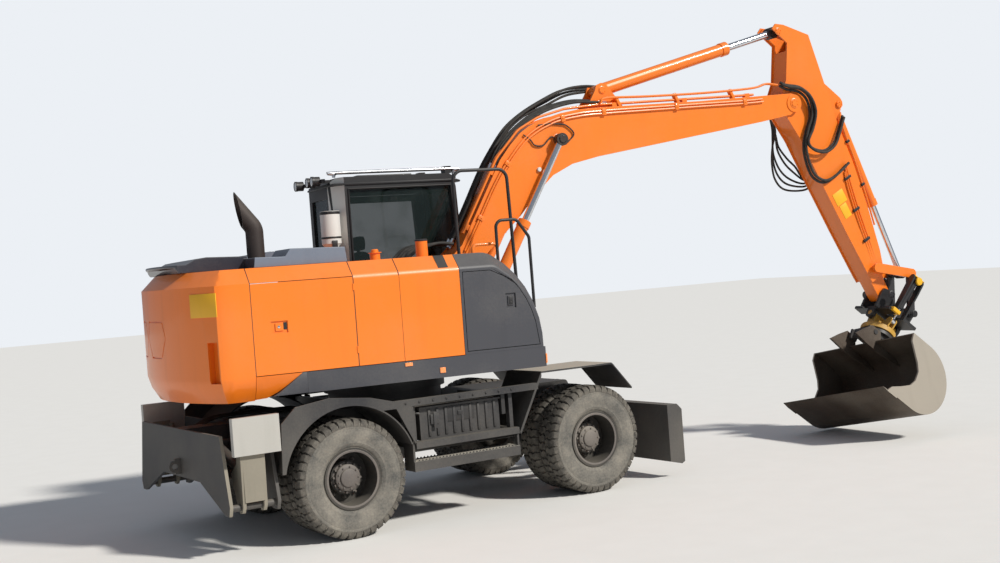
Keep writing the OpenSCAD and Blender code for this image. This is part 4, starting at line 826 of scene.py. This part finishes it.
# Pins by their x and z on the boom and on the arm
BOOM_EYE, ARM_EYE, BUCKET_EYE = (2151, 864), (-796, 288), (2562, 419)
ZINC = paint("zinc", linear(186, 184, 178), 0.45, 0.45, metallic=0.3)
WHITE = paint("white_paint", linear(222, 222, 218), 0.35, 0.2)
# Painted light: a pale grey that stands for sunlight on the bucket's end plates.
PAINTED_SUNLIGHT = paint("bucket_end_painted_light", linear(158, 150, 138), 0.5, 0.5, metallic=0.2)
YELLOW = paint("signal_yellow", linear(240, 180, 28), 0.4, 0.12)
DUSTY = paint("dusty_top", linear(168, 164, 154), 0.8, 0.9)
LID = paint("tail_lid", linear(40, 42, 54), 0.3, 0.22, coat=0.4)
EYE = paint("rod_eye", linear(52, 42, 38), 0.5, 0.3, metallic=0.3)
LEG = finishes["leg_paint"]
REGIONS = [
    ("stabiliser_leg_left", CHASSIS, ZINC, lambda x, y, z: z > 840 and abs(y) > 1183),
    ("stabiliser_leg_right", CHASSIS, ZINC, lambda x, y, z: z > 840 and abs(y) > 1183),
    ("deck_cover", UPPER, LID, lambda x, y, z: x < -1462),
    ("boom_rods", BOOM, EYE, near(BOOM_EYE, 100)),
    ("arm_rod", ARM, EYE, near(ARM_EYE, 100)),
    ("bucket_rod", ARM, EYE, near(BUCKET_EYE, 90)),
    ("cab_shell", UPPER, WHITE, lambda x, y, z: x < -195 and y < 520 and 2585 < z < 2985),
    # Painted light: both end plates of the bucket are painted pale, as if sunlit.
    ("bucket", TILTED, PAINTED_SUNLIGHT, lambda x, y, z: abs(y) > 776),
    ("mudguards", CHASSIS, DUSTY, lambda x, y, z: x > 1040 and z > 1255),
    ("side_steps", CHASSIS, DUSTY, lambda x, y, z: 583 < z < 597 and abs(y) > 1035),
    ("stabiliser_beam", CHASSIS, LEG, lambda x, y, z: x < -2105 and abs(y) > 1040),
    # Painted shade: the notch on the tank's shoulder is painted dark, for the shade in it.
    ("body_panels", UPPER, DARK, lambda x, y, z: 159 < x < 269 and -1200 < y < -1050 and z > 2383)]
for region in REGIONS:
    recolour(*region)
print("regions", len(REGIONS))

# %% [markdown]
# A pin that carries a joint ends in a round cap with a ring of bolts. One turned profile and one
# ring of copies make every cap at the size of its own pin, in pairs on both sides of the part.


# %% Pin caps
def pin_cap(shape, pin, y, r, bolts, hand, hood):
    """A cap on the pin with its face at y, looking outwards; hood is how far it stands out."""
    x, z = pin
    edge = [(0, hood), (0.2, hood), (0.24, hood - 3), (0.86, hood - 3), (1, hood - 7), (1, -4), (0, -4)]
    shape.lathe([(r * share, y + hand * out) for share, out in edge], (x, 0, z), steps=32)
    k = r * 0.11
    head = [(0, hood + 5), (k, hood + 5), (k * 1.2, hood + 3), (k * 1.2, hood - 5), (0, hood - 5)]
    one = bolt([(a, hand * out) for a, out in head])
    absorb(shape, copies(one, RING, DARK, Count=bolts, Radius=r * 0.64, Start=0.3), moved(x, y, z))


def caps(name, place, body, finish, slot, pins):
    """Caps on both ends of each pin: its x and z, half its width, radius, bolts and hood."""
    shape = Shape()
    for hand in (-1, 1):
        for pin, half, r, bolts, hood in pins:
            pin_cap(shape, pin, hand * half, r, bolts, hand, hood)
    piece(name, shape, place, body, finish)


caps("boom_pin_caps", BOOM, "boom", ORANGE_PAINT, "orange_paint",
     [((0, 0), 190, 62, 6, 10), ((BOOM_LEN, 0), 201, 60, 6, 10), ((2931, 1121), 113, 46, 6, 10),
      (BOOM_EYE, 190, 70, 6, 10)])
caps("arm_pin_caps", ARM, "arm", ORANGE_PAINT, "orange_paint",
     [(ARM_EYE, 146, 44, 5, 10), ((345, 630), 120, 40, 5, 10), ((2227, 7), 112, 40, 5, 6)])
caps("blade_pin_caps", CHASSIS, "undercarriage", DARK, "dark_paint", [((2080, 480), 366, 44, 4, 8)])
print("pin caps done")

# %% [markdown]
# Lamps are a dark housing and a clear lens with ribs. A true lens would need light inside it, so a pale
# ribbed finish with painted glints stands for it. Round work lamps sit behind on the cab roof and on the
# boom, square ones in front, and amber markers on the skirts.


# %% Lamps and markers
def lens(name, colour):
    """A lens with painted glints on its ribs."""
    f = Finish(name, coat=0.5)
    ribs = f.noise(420.0, 1.0)
    # Painted glints: the lens is mixed towards near white where its ribs rise.
    tone = f.mix(ribs.above(0.4, 0.7) * 0.3, colour, linear(250, 250, 246))
    return f.wear(tone, 0.12 + ribs * 0.12, ribs, 0.0006)


CLEAR, AMBER = lens("lamp_clear", linear(206, 212, 216)), lens("lamp_amber", linear(255, 138, 20))
CHROME = finishes["bare_steel"]
# Share of the lamp's radius, and distance from its back
HOUSING = [(0, 0), (0.6, 0), (0.86, 18), (1, 44), (1, 66), (0.93, 68), (0.9, 62), (0, 62)]
DISC = [(0, 68), (0.5, 67), (0.8, 64), (0.9, 60), (0, 58)]


def round_lamp(name, place, body, r):
    """A lamp that looks along its own X, with its back at the origin."""
    for part, profile, finish, slot in (("_housing", HOUSING, DARK, "dark_paint"),
                                        ("_lens", DISC, CLEAR, "glass")):
        shape = Shape().lathe([(r * share, out) for share, out in profile], axis="x", steps=32)
        piece(name + part, shape, place, body, finish)


for k, y in enumerate((600, 760, 1170)):
    round_lamp("rear_lamp_%d" % k, UPPER @ moved(-340, y, 3300) @ turned(180, "Z"), "upper", 53)
for side, y in (("right", 448), ("left", 1165)):
    shape = Shape().box((1069, y - 45, 3328), (1077, y + 45, 3386))
    piece("front_lamp_lens_" + side, shape, UPPER, "upper", CLEAR, bevel=0.006)
bracket = Shape().box((1500, 190, 790), (1560, 215, 900)).box((1520, 200, 880), (1545, 280, 900))
piece("boom_lamp_bracket", bracket, BOOM, "boom", DARK, bevel=0.003)
round_lamp("boom_lamp_left", BOOM @ moved(1530, 268, 850) @ turned(18, "Y"), "boom", 48)
marks = Shape().box((-235, -1241, 1455), (-162, -1229, 1487)).box((1195, -1243, 1345), (1204, -1180, 1440))
marks.box((1204, -1215, 1350), (1224, -1160, 1435)).box((102, -1241, 1362), (157, -1229, 1412))
marks.box((-235, 1229, 1455), (-162, 1241, 1487)).box((102, 1229, 1362), (157, 1241, 1412))
piece("amber_markers", marks, UPPER, "upper", AMBER, bevel=0.003)
print("lamps done")

# %% [markdown]
# The seat shows through the glass. Its cushions are puffed pads. A cloth simulation could puff
# them, but little of them is seen, so they are rounded forms, subdivided, whose tops crown and
# whose sides pull in, with channels across them.


# %% Cushions
def cushion(name, low, high, crown, channels):
    """A stuffed pad between two corners; crown is its rise in millimetres."""
    shape = Shape().box(low, high)
    bm = shape.bm
    bmesh.ops.subdivide_edges(bm, edges=bm.edges, cuts=9, use_grid_fill=True)
    mid = (Vector(low) + Vector(high)) / 2
    half = (Vector(high) - Vector(low)) / 2
    thin = min(range(3), key=lambda i: half[i])
    long, wide = [i for i in range(3) if i != thin]
    for v in bm.verts:
        d = v.co - mid
        u, w, t = d[long] / half[long], d[wide] / half[wide], d[thin] / half[thin]
        rise = max(0.0, 1 - u * u) ** 0.5 * max(0.0, 1 - w * w) ** 0.5
        groove = sum(math.exp(-((w - c) / 0.045) ** 2) for c in channels)
        pull = 0.90 + 0.06 * (1 - abs(t))
        v.co[long] = mid[long] + d[long] * (pull + 0.05 * (1 - w * w))
        v.co[wide] = mid[wide] + d[wide] * (pull + 0.05 * (1 - u * u))
        v.co[thin] = mid[thin] + t * (half[thin] * 0.62 + crown * rise - 9 * groove * rise)
    ob = piece(name, shape, UPPER, "upper", finishes["seat"], deg=80)
    fine = ob.modifiers.new("fine", "SUBSURF")
    fine.levels = fine.render_levels = 1
    baked(ob)
    smooth(ob.data, 80)


cushion("seat_cushion", (90, 590, 1880), (640, 1030, 2020), 42, (-0.5, 0.5))
cushion("seat_back", (60, 600, 2010), (200, 1020, 2560), 40, (-0.4, 0.1, 0.5))
cushion("head_rest", (75, 690, 2570), (175, 930, 2720), 26, ())
print("cushions", 3)

# %% [markdown]
# Under the cushions stands a sprung base with a bellows, which is a stack of thin plates. Round
# the seat are armrest consoles with levers, a steering wheel on its column, a screen and pedals.
# They are dark and seen through tinted glass, so plain boxes, prisms and rods are enough.

# %% Seat base and controls
SEAT_Y = 810
base = Shape().box((150, 640, 1476), (540, 980, 1560)).box((190, 680, 1560), (500, 940, 1800))
base.box((110, 610, 1800), (620, 1010, 1880))
for k in range(6):
    base.box((184, 674, 1580 + 36 * k), (506, 946, 1596 + 36 * k))
base.rod((120, SEAT_Y, 2540), (120, SEAT_Y, 2620), 16)
seat = piece("seat_base", base, UPPER, "upper", DARK, bevel=0.006)
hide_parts("operator_seat")

cab = Shape()
armrest = [(60, 1900), (700, 1960), (760, 2070), (720, 2110), (420, 2090), (60, 2060)]
for y in (520, 1050):
    cab.prism(armrest, y - 5, y + 70)
    cab.rod((690, y + 30, 2090), (712, y + 30, 2190), 12, 9)
    cab.rod((712, y + 30, 2185), (720, y + 30, 2270), 24, 17, 12)
cab.rod((930, SEAT_Y, 1480), (850, SEAT_Y, 2080), 34, 24)
cab.lathe([(0, 0), (30, 0), (30, 26), (0, 26)], (845, SEAT_Y, 2090), "z", 20)
turns = [k * math.pi / 12 for k in range(25)]
rim = [(832 + 35 * math.cos(a), SEAT_Y + 175 * math.sin(a), 2140 + 112.5 * math.cos(a)) for a in turns]
cab.hose(rim, 13, 8, 2)
cab.rod((835, 640, 2145), (835, 980, 2145), 9)
cab.box((1010, 500, 2110), (1050, 700, 2300)).box((1020, 560, 1960), (1045, 600, 2120))
cab.box((-180, 450, 1900), (-120, 1170, 2440))
for y in (620, 860):
    cab.box((900, y, 1480), (1010, y + 140, 1640))
floor_edge = [(560, 1478), (1180, 1478), (1220, 1640), (1200, 1660), (1120, 1500), (560, 1492)]
cab.prism(floor_edge, 450, 1180)
piece("cab_controls", cab, UPPER, "upper", DARK, bevel=0.005)
tag = Shape().box((385, 441, 3050), (462, 444, 3104))
piece("window_tag", tag, UPPER, "upper", WHITE)
print("cab inside done")

# %% [markdown]
# Round the cab run rubber seals, a rain gutter, a wiper and a hatch on the roof. A seal is a thin
# tube laid straight from corner to corner. A bright rail runs along the roof's right edge.

# %% Cab outside
trim = Shape()
trim.prism([(-250, 3236), (1110, 3236), (1150, 3222), (1158, 3240), (1112, 3256), (-250, 3256)], 364, 1249)
trim.prism([(60, 3320), (700, 3320), (680, 3346), (80, 3346)], 560, 1060)
window = [(-96, 2045), (1118, 2045), (1066, 2560), (1042, 3196), (-92, 3196), (-96, 2045)]
trim.hose([(x, 372, z) for x, z in window], 9, 6, 1)
piece("cab_trim", trim, UPPER, "upper", DARK, bevel=0.004)
door = [(-40, 1552), (876, 1552), (1092, 1750), (1092, 1955), (962, 2550), (934, 3098), (-40, 3098),
        (-40, 1552)]
seal = Shape().hose([(x, 1236, z) for x, z in door], 8, 6, 1)
piece("door_seal", seal, UPPER, "cab_door", DARK)
wiper = Shape().hose([(1150, 560, 2030), (1132, 640, 2400), (1118, 740, 2760)], 7, 6)
wiper.box((1110, 700, 2500), (1122, 712, 3040)).rod((1150, 560, 2010), (1190, 560, 2020), 22, 18)
piece("front_wiper", wiper, UPPER, "upper", HOSE)
along = [(-225, 3322), (-223, 3352), (-190, 3366), (1060, 3364), (1095, 3340), (1104, 3270)]
rail = Shape().hose([(x, 408, z) for x, z in along], 17, 12)
piece("roof_rail_bright", rail, UPPER, "upper", CHROME)
print("cab outside done")

# %% [markdown]
# Behind the cab stands the white pot of the central greasing, with a lid, a strap, four thin
# hoses and a filter beside it. The pot itself is in the solids, so only these are added.

# %% Grease pot
POT = (-300, 400, 0)
pot = Shape()
pot.lathe([(0, 2974), (60, 2976), (92, 2982), (101, 2975), (103, 2950), (100, 2944), (0, 2940)], POT, "z", 40)
pot.lathe([(101.5, 2700), (103.5, 2704), (103.5, 2716), (101.5, 2720)], POT, "z", 40)
pot.box((-330, 296, 2612), (-270, 304, 2680)).rod((-300, 400, 2520), (-300, 400, 2592), 30, 44)
piece("grease_pot_lid", pot, UPPER, "upper", DARK, bevel=0.003)
for k in range(4):
    y = 330 + 36 * k
    line = [(-330 + 20 * k, 392, 2570), (-352, y, 2480 - 22 * k), (-300, y, 2330 + 30 * k),
            (-262, 420, 2500 - 18 * k), (-246, 470, 2640)]
    piece("grease_hose_%d" % k, Shape().hose(line, 7, 8), UPPER, "upper", HOSE)
bowl = [(0, 2470), (30, 2472), (44, 2480), (46, 2600), (40, 2612), (0, 2616)]
piece("white_filter", Shape().lathe(bowl, (-262, 330, 0), "z", 28), UPPER, "upper", WHITE)
print("grease pot done")

# %% [markdown]
# The service doors have a bright lock and a dark finger grip, and the storage lid has a latch.
# They ride on their doors, not on the wall behind. Thin dark seams part the orange panels. The
# tail has a blank yellow plate, and the dark skirts taper off under it.

# %% Panels and tail
for side, x, hand in (("right", -1403, -1), ("left", -460, 1)):
    body = body_of["service_door_" + side]
    lock = Shape().rod((x + 30, hand * 1230, 1914), (x + 30, hand * 1236, 1914), 14, 12)
    piece("door_lock_" + side, lock, UPPER, body, CHROME, bevel=0.001)
    low, high = sorted((hand * 1222, hand * 1224))
    grip = Shape().box((x + 74, low, 1888), (x + 104, high, 1950))
    piece("door_grip_" + side, grip, UPPER, body, DARK)
latch = Shape().box((852, -1236, 1932), (893, -1224, 2008)).rod((872, -1222, 1950), (872, -1239, 1950), 9)
piece("lid_latch", latch, UPPER, body_of["storage_lid"], DARK, bevel=0.002)
seams = Shape()
over_shoulder = [(-1234.2, 1506), (-1232, 1506), (-1232, SHOULDER_Z), (-1103, 2437), (-1105, 2439.4),
                 (-1234.2, 2309)]
for x in (-1604, -669, -234):
    seams.prism(over_shoulder, x - 3, x + 3, "x")
piece("panel_seams", seams, UPPER, "upper", HOSE)
tuck = Shape()
taper = [(-1150, 1318), (-1150, 1500), (-1190, 1500), (-1290, 1425), (-1400, 1348), (-1464, 1318)]
for hand in (-1, 1):
    tuck.prism(taper, *sorted((hand * 1233, hand * 1200)))
piece("skirt_ends", tuck, UPPER, "upper", finishes["storage_plastic"], bevel=0.003)
plate = Shape().box((-4, -165, 0), (4, 165, 204))
on_tail = UPPER @ turned(28.8, "Z") @ moved(-2262, 0, 2044)
piece("blank_plate", plate, on_tail, "upper", YELLOW, bevel=0.002)
print("panels done")

# %% [markdown]
# The radiator breathes through louvres in the left door, and the engine through slots in its
# hood. Real ones are pressed from the sheet in even rows. One slat and one step make each row,
# and the hood's rows are then lowered onto its slope.

# %% Louvres
side = Shape()
slat = Shape().prism([(1233, 0), (1240, 3), (1236, 22), (1231, 24)], 0, 400, "x")
slats = copies(slat, ROW, DARK, Count=18, Step=(0, 0, 34))
for x in (-1360, -930):
    absorb(side, slats, moved(x, 0, 1600))
piece("left_louvres", side, UPPER, body_of["service_door_left"], DARK)
HOOD_X, HOOD_TOP, HOOD_FALL = -1165, 2592, 14 / 510
top = Shape()
slots = copies(Shape().box((0, -220, 0), (12, 220, 6)), ROW, DARK, Count=16, Step=(28, 0, 0))
for y in (40, 560):
    absorb(top, slots, moved(-1110, y, 0))
for v in top.bm.verts:
    v.co.z += HOOD_TOP - (v.co.x - HOOD_X) * HOOD_FALL
piece("hood_louvres", top, UPPER, body_of["engine_hood"], DARK)
print("louvres done")

# %% [markdown]
# The tilting coupler is the busiest place: bolted caps on its pins, yellow caps on its cylinders, and hoses
# from the arm, which ride on no body though the coupler curls.

# %% Coupler
caps("coupler_caps", TOOL, "coupler", DARK, "dark_paint",
     [((0, 0), 232, 46, 5, 10), ((420, 0), 232, 42, 5, 10)])
yellow = Shape().box((120, -300, 352), (290, -240, 366)).box((30, -340, -196), (150, -250, -150))
for hand in (-1, 1):
    yellow.rod((205, hand * 306, 320), (205, hand * 326, 320), 52, 44, 24)
piece("coupler_caps_yellow", yellow, TOOL, "coupler", YELLOW, bevel=0.004)
for k in range(4):
    y = -84 + 56 * k
    line = [(-420, y, 175), (-250, y, 150), (-60, y, 60), (40, y, -50), (120, y, -92), (230, y, -104)]
    crossing("tool_hose_%d" % k, line, 11, TOOL, line[1], line[4], 8)
print("coupler done")

# %% [markdown]
# Bolts, grips and brackets dress the undercarriage, and the steps have toothed edges against
# slipping. Bolts and teeth stand in even rows, so each is one shape copied along a row.

# %% Undercarriage fittings
def faced(hand, length):
    """Turns a row of that length round, where it is to face the chassis's right side."""
    return Matrix.Identity(4) if hand > 0 else turned(180, "Z") @ moved(-length, 0, 0)


under = Shape()
bolts = copies(bolt([(0, 8), (10, 8), (12, 5), (12, -2), (0, -2)]), ROW, DARK, Count=9, Step=(142, 0, 0))
teeth = copies(Shape().prism([(0, 0), (30, 0), (15, 16)], 0, 6), ROW, DARK, Count=30, Step=(36, 0, 0))
for hand in (-1, 1):
    absorb(under, bolts, moved(-430, hand * 1240, 1126) @ faced(hand, 1136))
    for y in (1226, 1060):
        absorb(under, teeth, moved(-340, hand * y, 589))
    under.hose([(-252, hand * 1150, 1010), (-300, hand * 1140, 1020), (-420, hand * 1100, 1040)], 12, 8)
    under.box((20, hand * 1150 - 6, 900), (330, hand * 1150 + 6, 1040))
    under.box((150, hand * 1156 - 8, 950), (200, hand * 1156 + 8, 990))
piece("undercarriage_bolts", under, CHASSIS, "undercarriage", DARK, bevel=0.0015)
lines = Shape()
for k in range(4):
    y = 250 - 40 * k
    lines.hose([(-900, y, 1080), (-1250, y, 1086), (-1700, y - 20, 1084), (-1900, y - 10 - 20 * k, 1010),
                (-1960, y + 10 - 50 * k, 930)], 12, 8)
piece("chassis_hoses", lines, CHASSIS, "undercarriage", HOSE)
print("undercarriage done")

# %% [markdown]
# Steel pipes run up the boom's right side and along its back under clamps. Pipes are painted
# with the boom, so they are orange tubes. A clamp is drawn once and turned to the boom's slope
# at each place.

# %% Pipes and clamps on the boom
PIPE_Y = -204
pipes = Shape()
for drop in (0, 32):
    path = [(660, 300), (957, 523), (1248, 745), (1495, 900), (1831, 1050), (2173, 1082), (2464, 1030),
            (2758, 938), (3637, 622), (4504, 308), (4760, 222)]
    pipes.hose([(x, PIPE_Y, z - drop) for x, z in path], 11, 8)
for y in (-190, -164):
    path = [(2807, 1010), (2900, 1030), (3391, 842), (4079, 590), (4698, 385), (4900, 352), (5040, 280)]
    pipes.hose([(x, y, z) for x, z in path], 12, 8)
piece("boom_side_pipes", pipes, BOOM, "boom", ORANGE_PAINT)
clamps = Shape()
# Where a clamp sits and how far it is turned
for x, z, turn in ((971, 518, -37), (1500, 886, -30), (2300, 1048, 10), (2788, 912, 20), (3660, 598, 20),
                   (4521, 286, 19)):
    clamp = Shape().box((-24, -222, -34), (24, -189, 34)).rod((0, -218, 0), (0, -229, 0), 8, sides=6)
    absorb(clamps, clamp.mesh("clamp"), moved(x, 0, z) @ turned(turn, "Y"))
for x, low, high in ((3020, 870, 990), (3720, 612, 738), (4420, 365, 490)):
    clamps.box((x - 16, -188, low), (x + 16, -128, high))
piece("boom_side_clamps", clamps, BOOM, "boom", ORANGE_PAINT, bevel=0.003)
print("boom pipes done")

# %% [markdown]
# A sheaf of hoses lies over the boom's bend. Each has a bright sleeve pressed on at both ends,
# which a helper adds. Two thin lines loop on the right side down to the cylinders' ports.

# %% Sheaf of hoses over the boom's bend
sheaf, sleeves = Shape(), Shape()
# At each point x and z, how far a hose bows to the left, and how many gaps it hangs down
LONG = [(640, 380, 0, 1), (963, 625, 0, 1), (1309, 900, 0, 1), (1534, 1052, 0, 1), (1796, 1196, 0, 1),
        (2049, 1262, 0, 1), (2334, 1290, 0, 2), (2616, 1290, 20, 2), (2860, 1230, 30, 2), (3060, 1130, 10, 1)]
SHORT = [(1340, 900, 0, 1), (1500, 1035, 0, 1), (1655, 1122, 0, 1), (1877, 1192, 0, 1), (2094, 1222, 0, 1),
         (2315, 1212, 0, 1), (2560, 1162, 0, 1), (2774, 1070, 0, 1), (2900, 1010, 0, 1)]


def sleeved(path, y, gap, r):
    """A hose along the boom's back with a sleeve at each end."""
    points = [(x, y + bow, z - gap * hang) for x, z, bow, hang in path]
    sheaf.hose(points, r, 8)
    for first, second in (points[:2], points[:-3:-1]):
        start = Vector(first)
        sleeves.rod(start, start + (Vector(second) - start).normalized() * 80, r * 1.3, sides=12)


for k in range(4):
    sleeved(LONG, 160 - 34 * k, 16 * (k % 3), 14)
for k in range(3):
    sleeved(SHORT, -60 - 38 * k, 14 * k, 15)
for path in ([(1800, 1080), (1850, 1000), (1872, 930), (1960, 890), (2080, 930), (2120, 900)],
             [(2000, 1100), (2130, 1060), (2240, 1010), (2310, 960), (2350, 850), (2240, 800)]):
    sheaf.hose([(x, -206, z) for x, z in path], 8, 8)
piece("boom_hose_sheaf", sheaf, BOOM, "boom", HOSE)
piece("boom_hose_sleeves", sleeves, BOOM, "boom", CHROME)
print("sheaf done")

# %% [markdown]
# The boom cylinders' pin ends in big dark nuts, and a white stud marks a greasing point. The
# arm carries two plates, which stay blank and yellow.

# %% Nuts, stud and plates
caps("boom_cylinder_nuts", BOOM, "boom", DARK, "dark_paint", [(BOOM_EYE, 290, 54, 6, 16)])
stud = Shape().lathe([(0, -214), (20, -214), (24, -208), (24, -188), (0, -188)], (1808, 0, 683), steps=20)
piece("boom_white_stud", stud, BOOM, "boom", WHITE)
for name, x0, x1, z0, z1 in (("upper", 1186, 1342, -66, 100), ("lower", 1352, 1525, -46, 62)):
    plate = Shape().box((x0, -148.5, z0), (x1, -145, z1))
    piece("arm_plate_" + name, plate, ARM, "arm", YELLOW, bevel=0.001)
print("plates done")

# %% [markdown]
# The toolbox between the wheels is ribbed sheet with a latch, and its lid overhangs a little. One pressed rib
# is drawn and copied in a row. The tanks on the deck have two filler caps, and a dark strip on the tank's
# shoulder is painted shade in its notch.

# %% Toolbox and filler caps
box = Shape()
ribs = copies(Shape().prism([(0, 0), (6, 12), (30, 12), (36, 0)], 790, 1036, "z"), ROW, DARK, Count=9,
              Step=(88, 0, 0))
for hand in (-1, 1):
    absorb(box, ribs, faced(hand, 354) @ moved(-214, 1150, 0))
    box.box((-262, hand * 1110 - 60, 1050), (616, hand * 1110 + 60, 1066))
    box.box((-150, hand * 1168 - 8, 900), (-60, hand * 1168 + 8, 990))
    box.box((-122, hand * 1178 - 6, 860), (-88, hand * 1178 + 6, 1010))
piece("toolbox_ribs", box, CHASSIS, "undercarriage", finishes["grey_paint"], bevel=0.002)
cap_and_notch_shade = Shape().lathe([(0, 2607), (52, 2607), (61, 2600), (61, 2588), (0, 2588)], (165, -850, 0), "z", 32)
# A thin dark strip on the shoulder is painted shade, laid over the notch there.
cap_and_notch_shade.prism([(-1221, 2324), (-1108, 2439.5), (-1105, 2436.5), (-1218, 2321)], 166, 264, "x")
piece("filler_cap", cap_and_notch_shade, UPPER, "upper", DARK)
collar = [(0, 2540), (26, 2540), (34, 2532), (36, 2512), (62, 2511), (62, 2504), (0, 2504)]
cap = Shape().lathe(collar, (-305, -850, 0), "z", 32)
piece("small_filler_cap", cap, UPPER, "upper", ORANGE_PAINT)
print("toolbox done")

# %% [markdown]
# The machine stands on a plain pale floor. A flat square under a finish with a faint speckle is
# all it needs, because its work is to take the shadow.

# %% Floor
floor = linked("floor", bpy.data.meshes.new("floor"))
bm = bmesh.new()
bmesh.ops.create_grid(bm, x_segments=1, y_segments=1, size=60)
bm.to_mesh(floor.data)
bm.free()
pale = Finish("floor_pale")
speckle = pale.noise(3.0, 6.0)
tone = pale.mix(speckle * 0.5, linear(236, 235, 232), linear(224, 222, 218))
floor.data.materials.append(pale.wear(tone, 0.9 + speckle * 0.05))
print("floor", floor.name)

# %% [markdown]
# A broad pale sky gives the soft light, and one sun gives the shadow, from the right and behind
# the camera. The backdrop is white only to the camera and through glass, so that it adds no
# light to the paint.

# %% Sky and sun
SKY, SKY_STRENGTH = linear(214, 224, 240), 0.34
BACKDROP = linear(236, 240, 245)
SUN_STRENGTH, SUN_SPREAD = 3.7, math.radians(5)
world = bpy.data.worlds.new("studio")
bpy.context.scene.world = world
world.use_nodes = True
tree = world.node_tree
sky = tree.nodes["Background"]
sky.inputs["Color"].default_value = SKY
sky.inputs["Strength"].default_value = SKY_STRENGTH
white = tree.nodes.new("ShaderNodeBackground")
white.inputs["Color"].default_value = BACKDROP
white.inputs["Strength"].default_value = 1.0
path = tree.nodes.new("ShaderNodeLightPath")
seen = (Val(tree, path.outputs["Is Camera Ray"]) + Val(tree, path.outputs["Is Transmission Ray"])).held()
blend = tree.nodes.new("ShaderNodeMixShader")
tree.links.new(seen.socket, blend.inputs[0])
tree.links.new(sky.outputs[0], blend.inputs[1])
tree.links.new(white.outputs[0], blend.inputs[2])
tree.links.new(blend.outputs[0], tree.nodes["World Output"].inputs[0])

sun = bpy.data.lights.new("sun", "SUN")
sun.energy, sun.angle, sun.color = SUN_STRENGTH, SUN_SPREAD, (1.0, 0.965, 0.9)
lamp = bpy.data.objects.new("sun", sun)
bpy.context.scene.collection.objects.link(lamp)
lamp.rotation_euler = (math.radians(52), 0, math.radians(28))
print("light from", (lamp.matrix_basis.to_3x3() @ Vector((0, 0, 1)))[:])
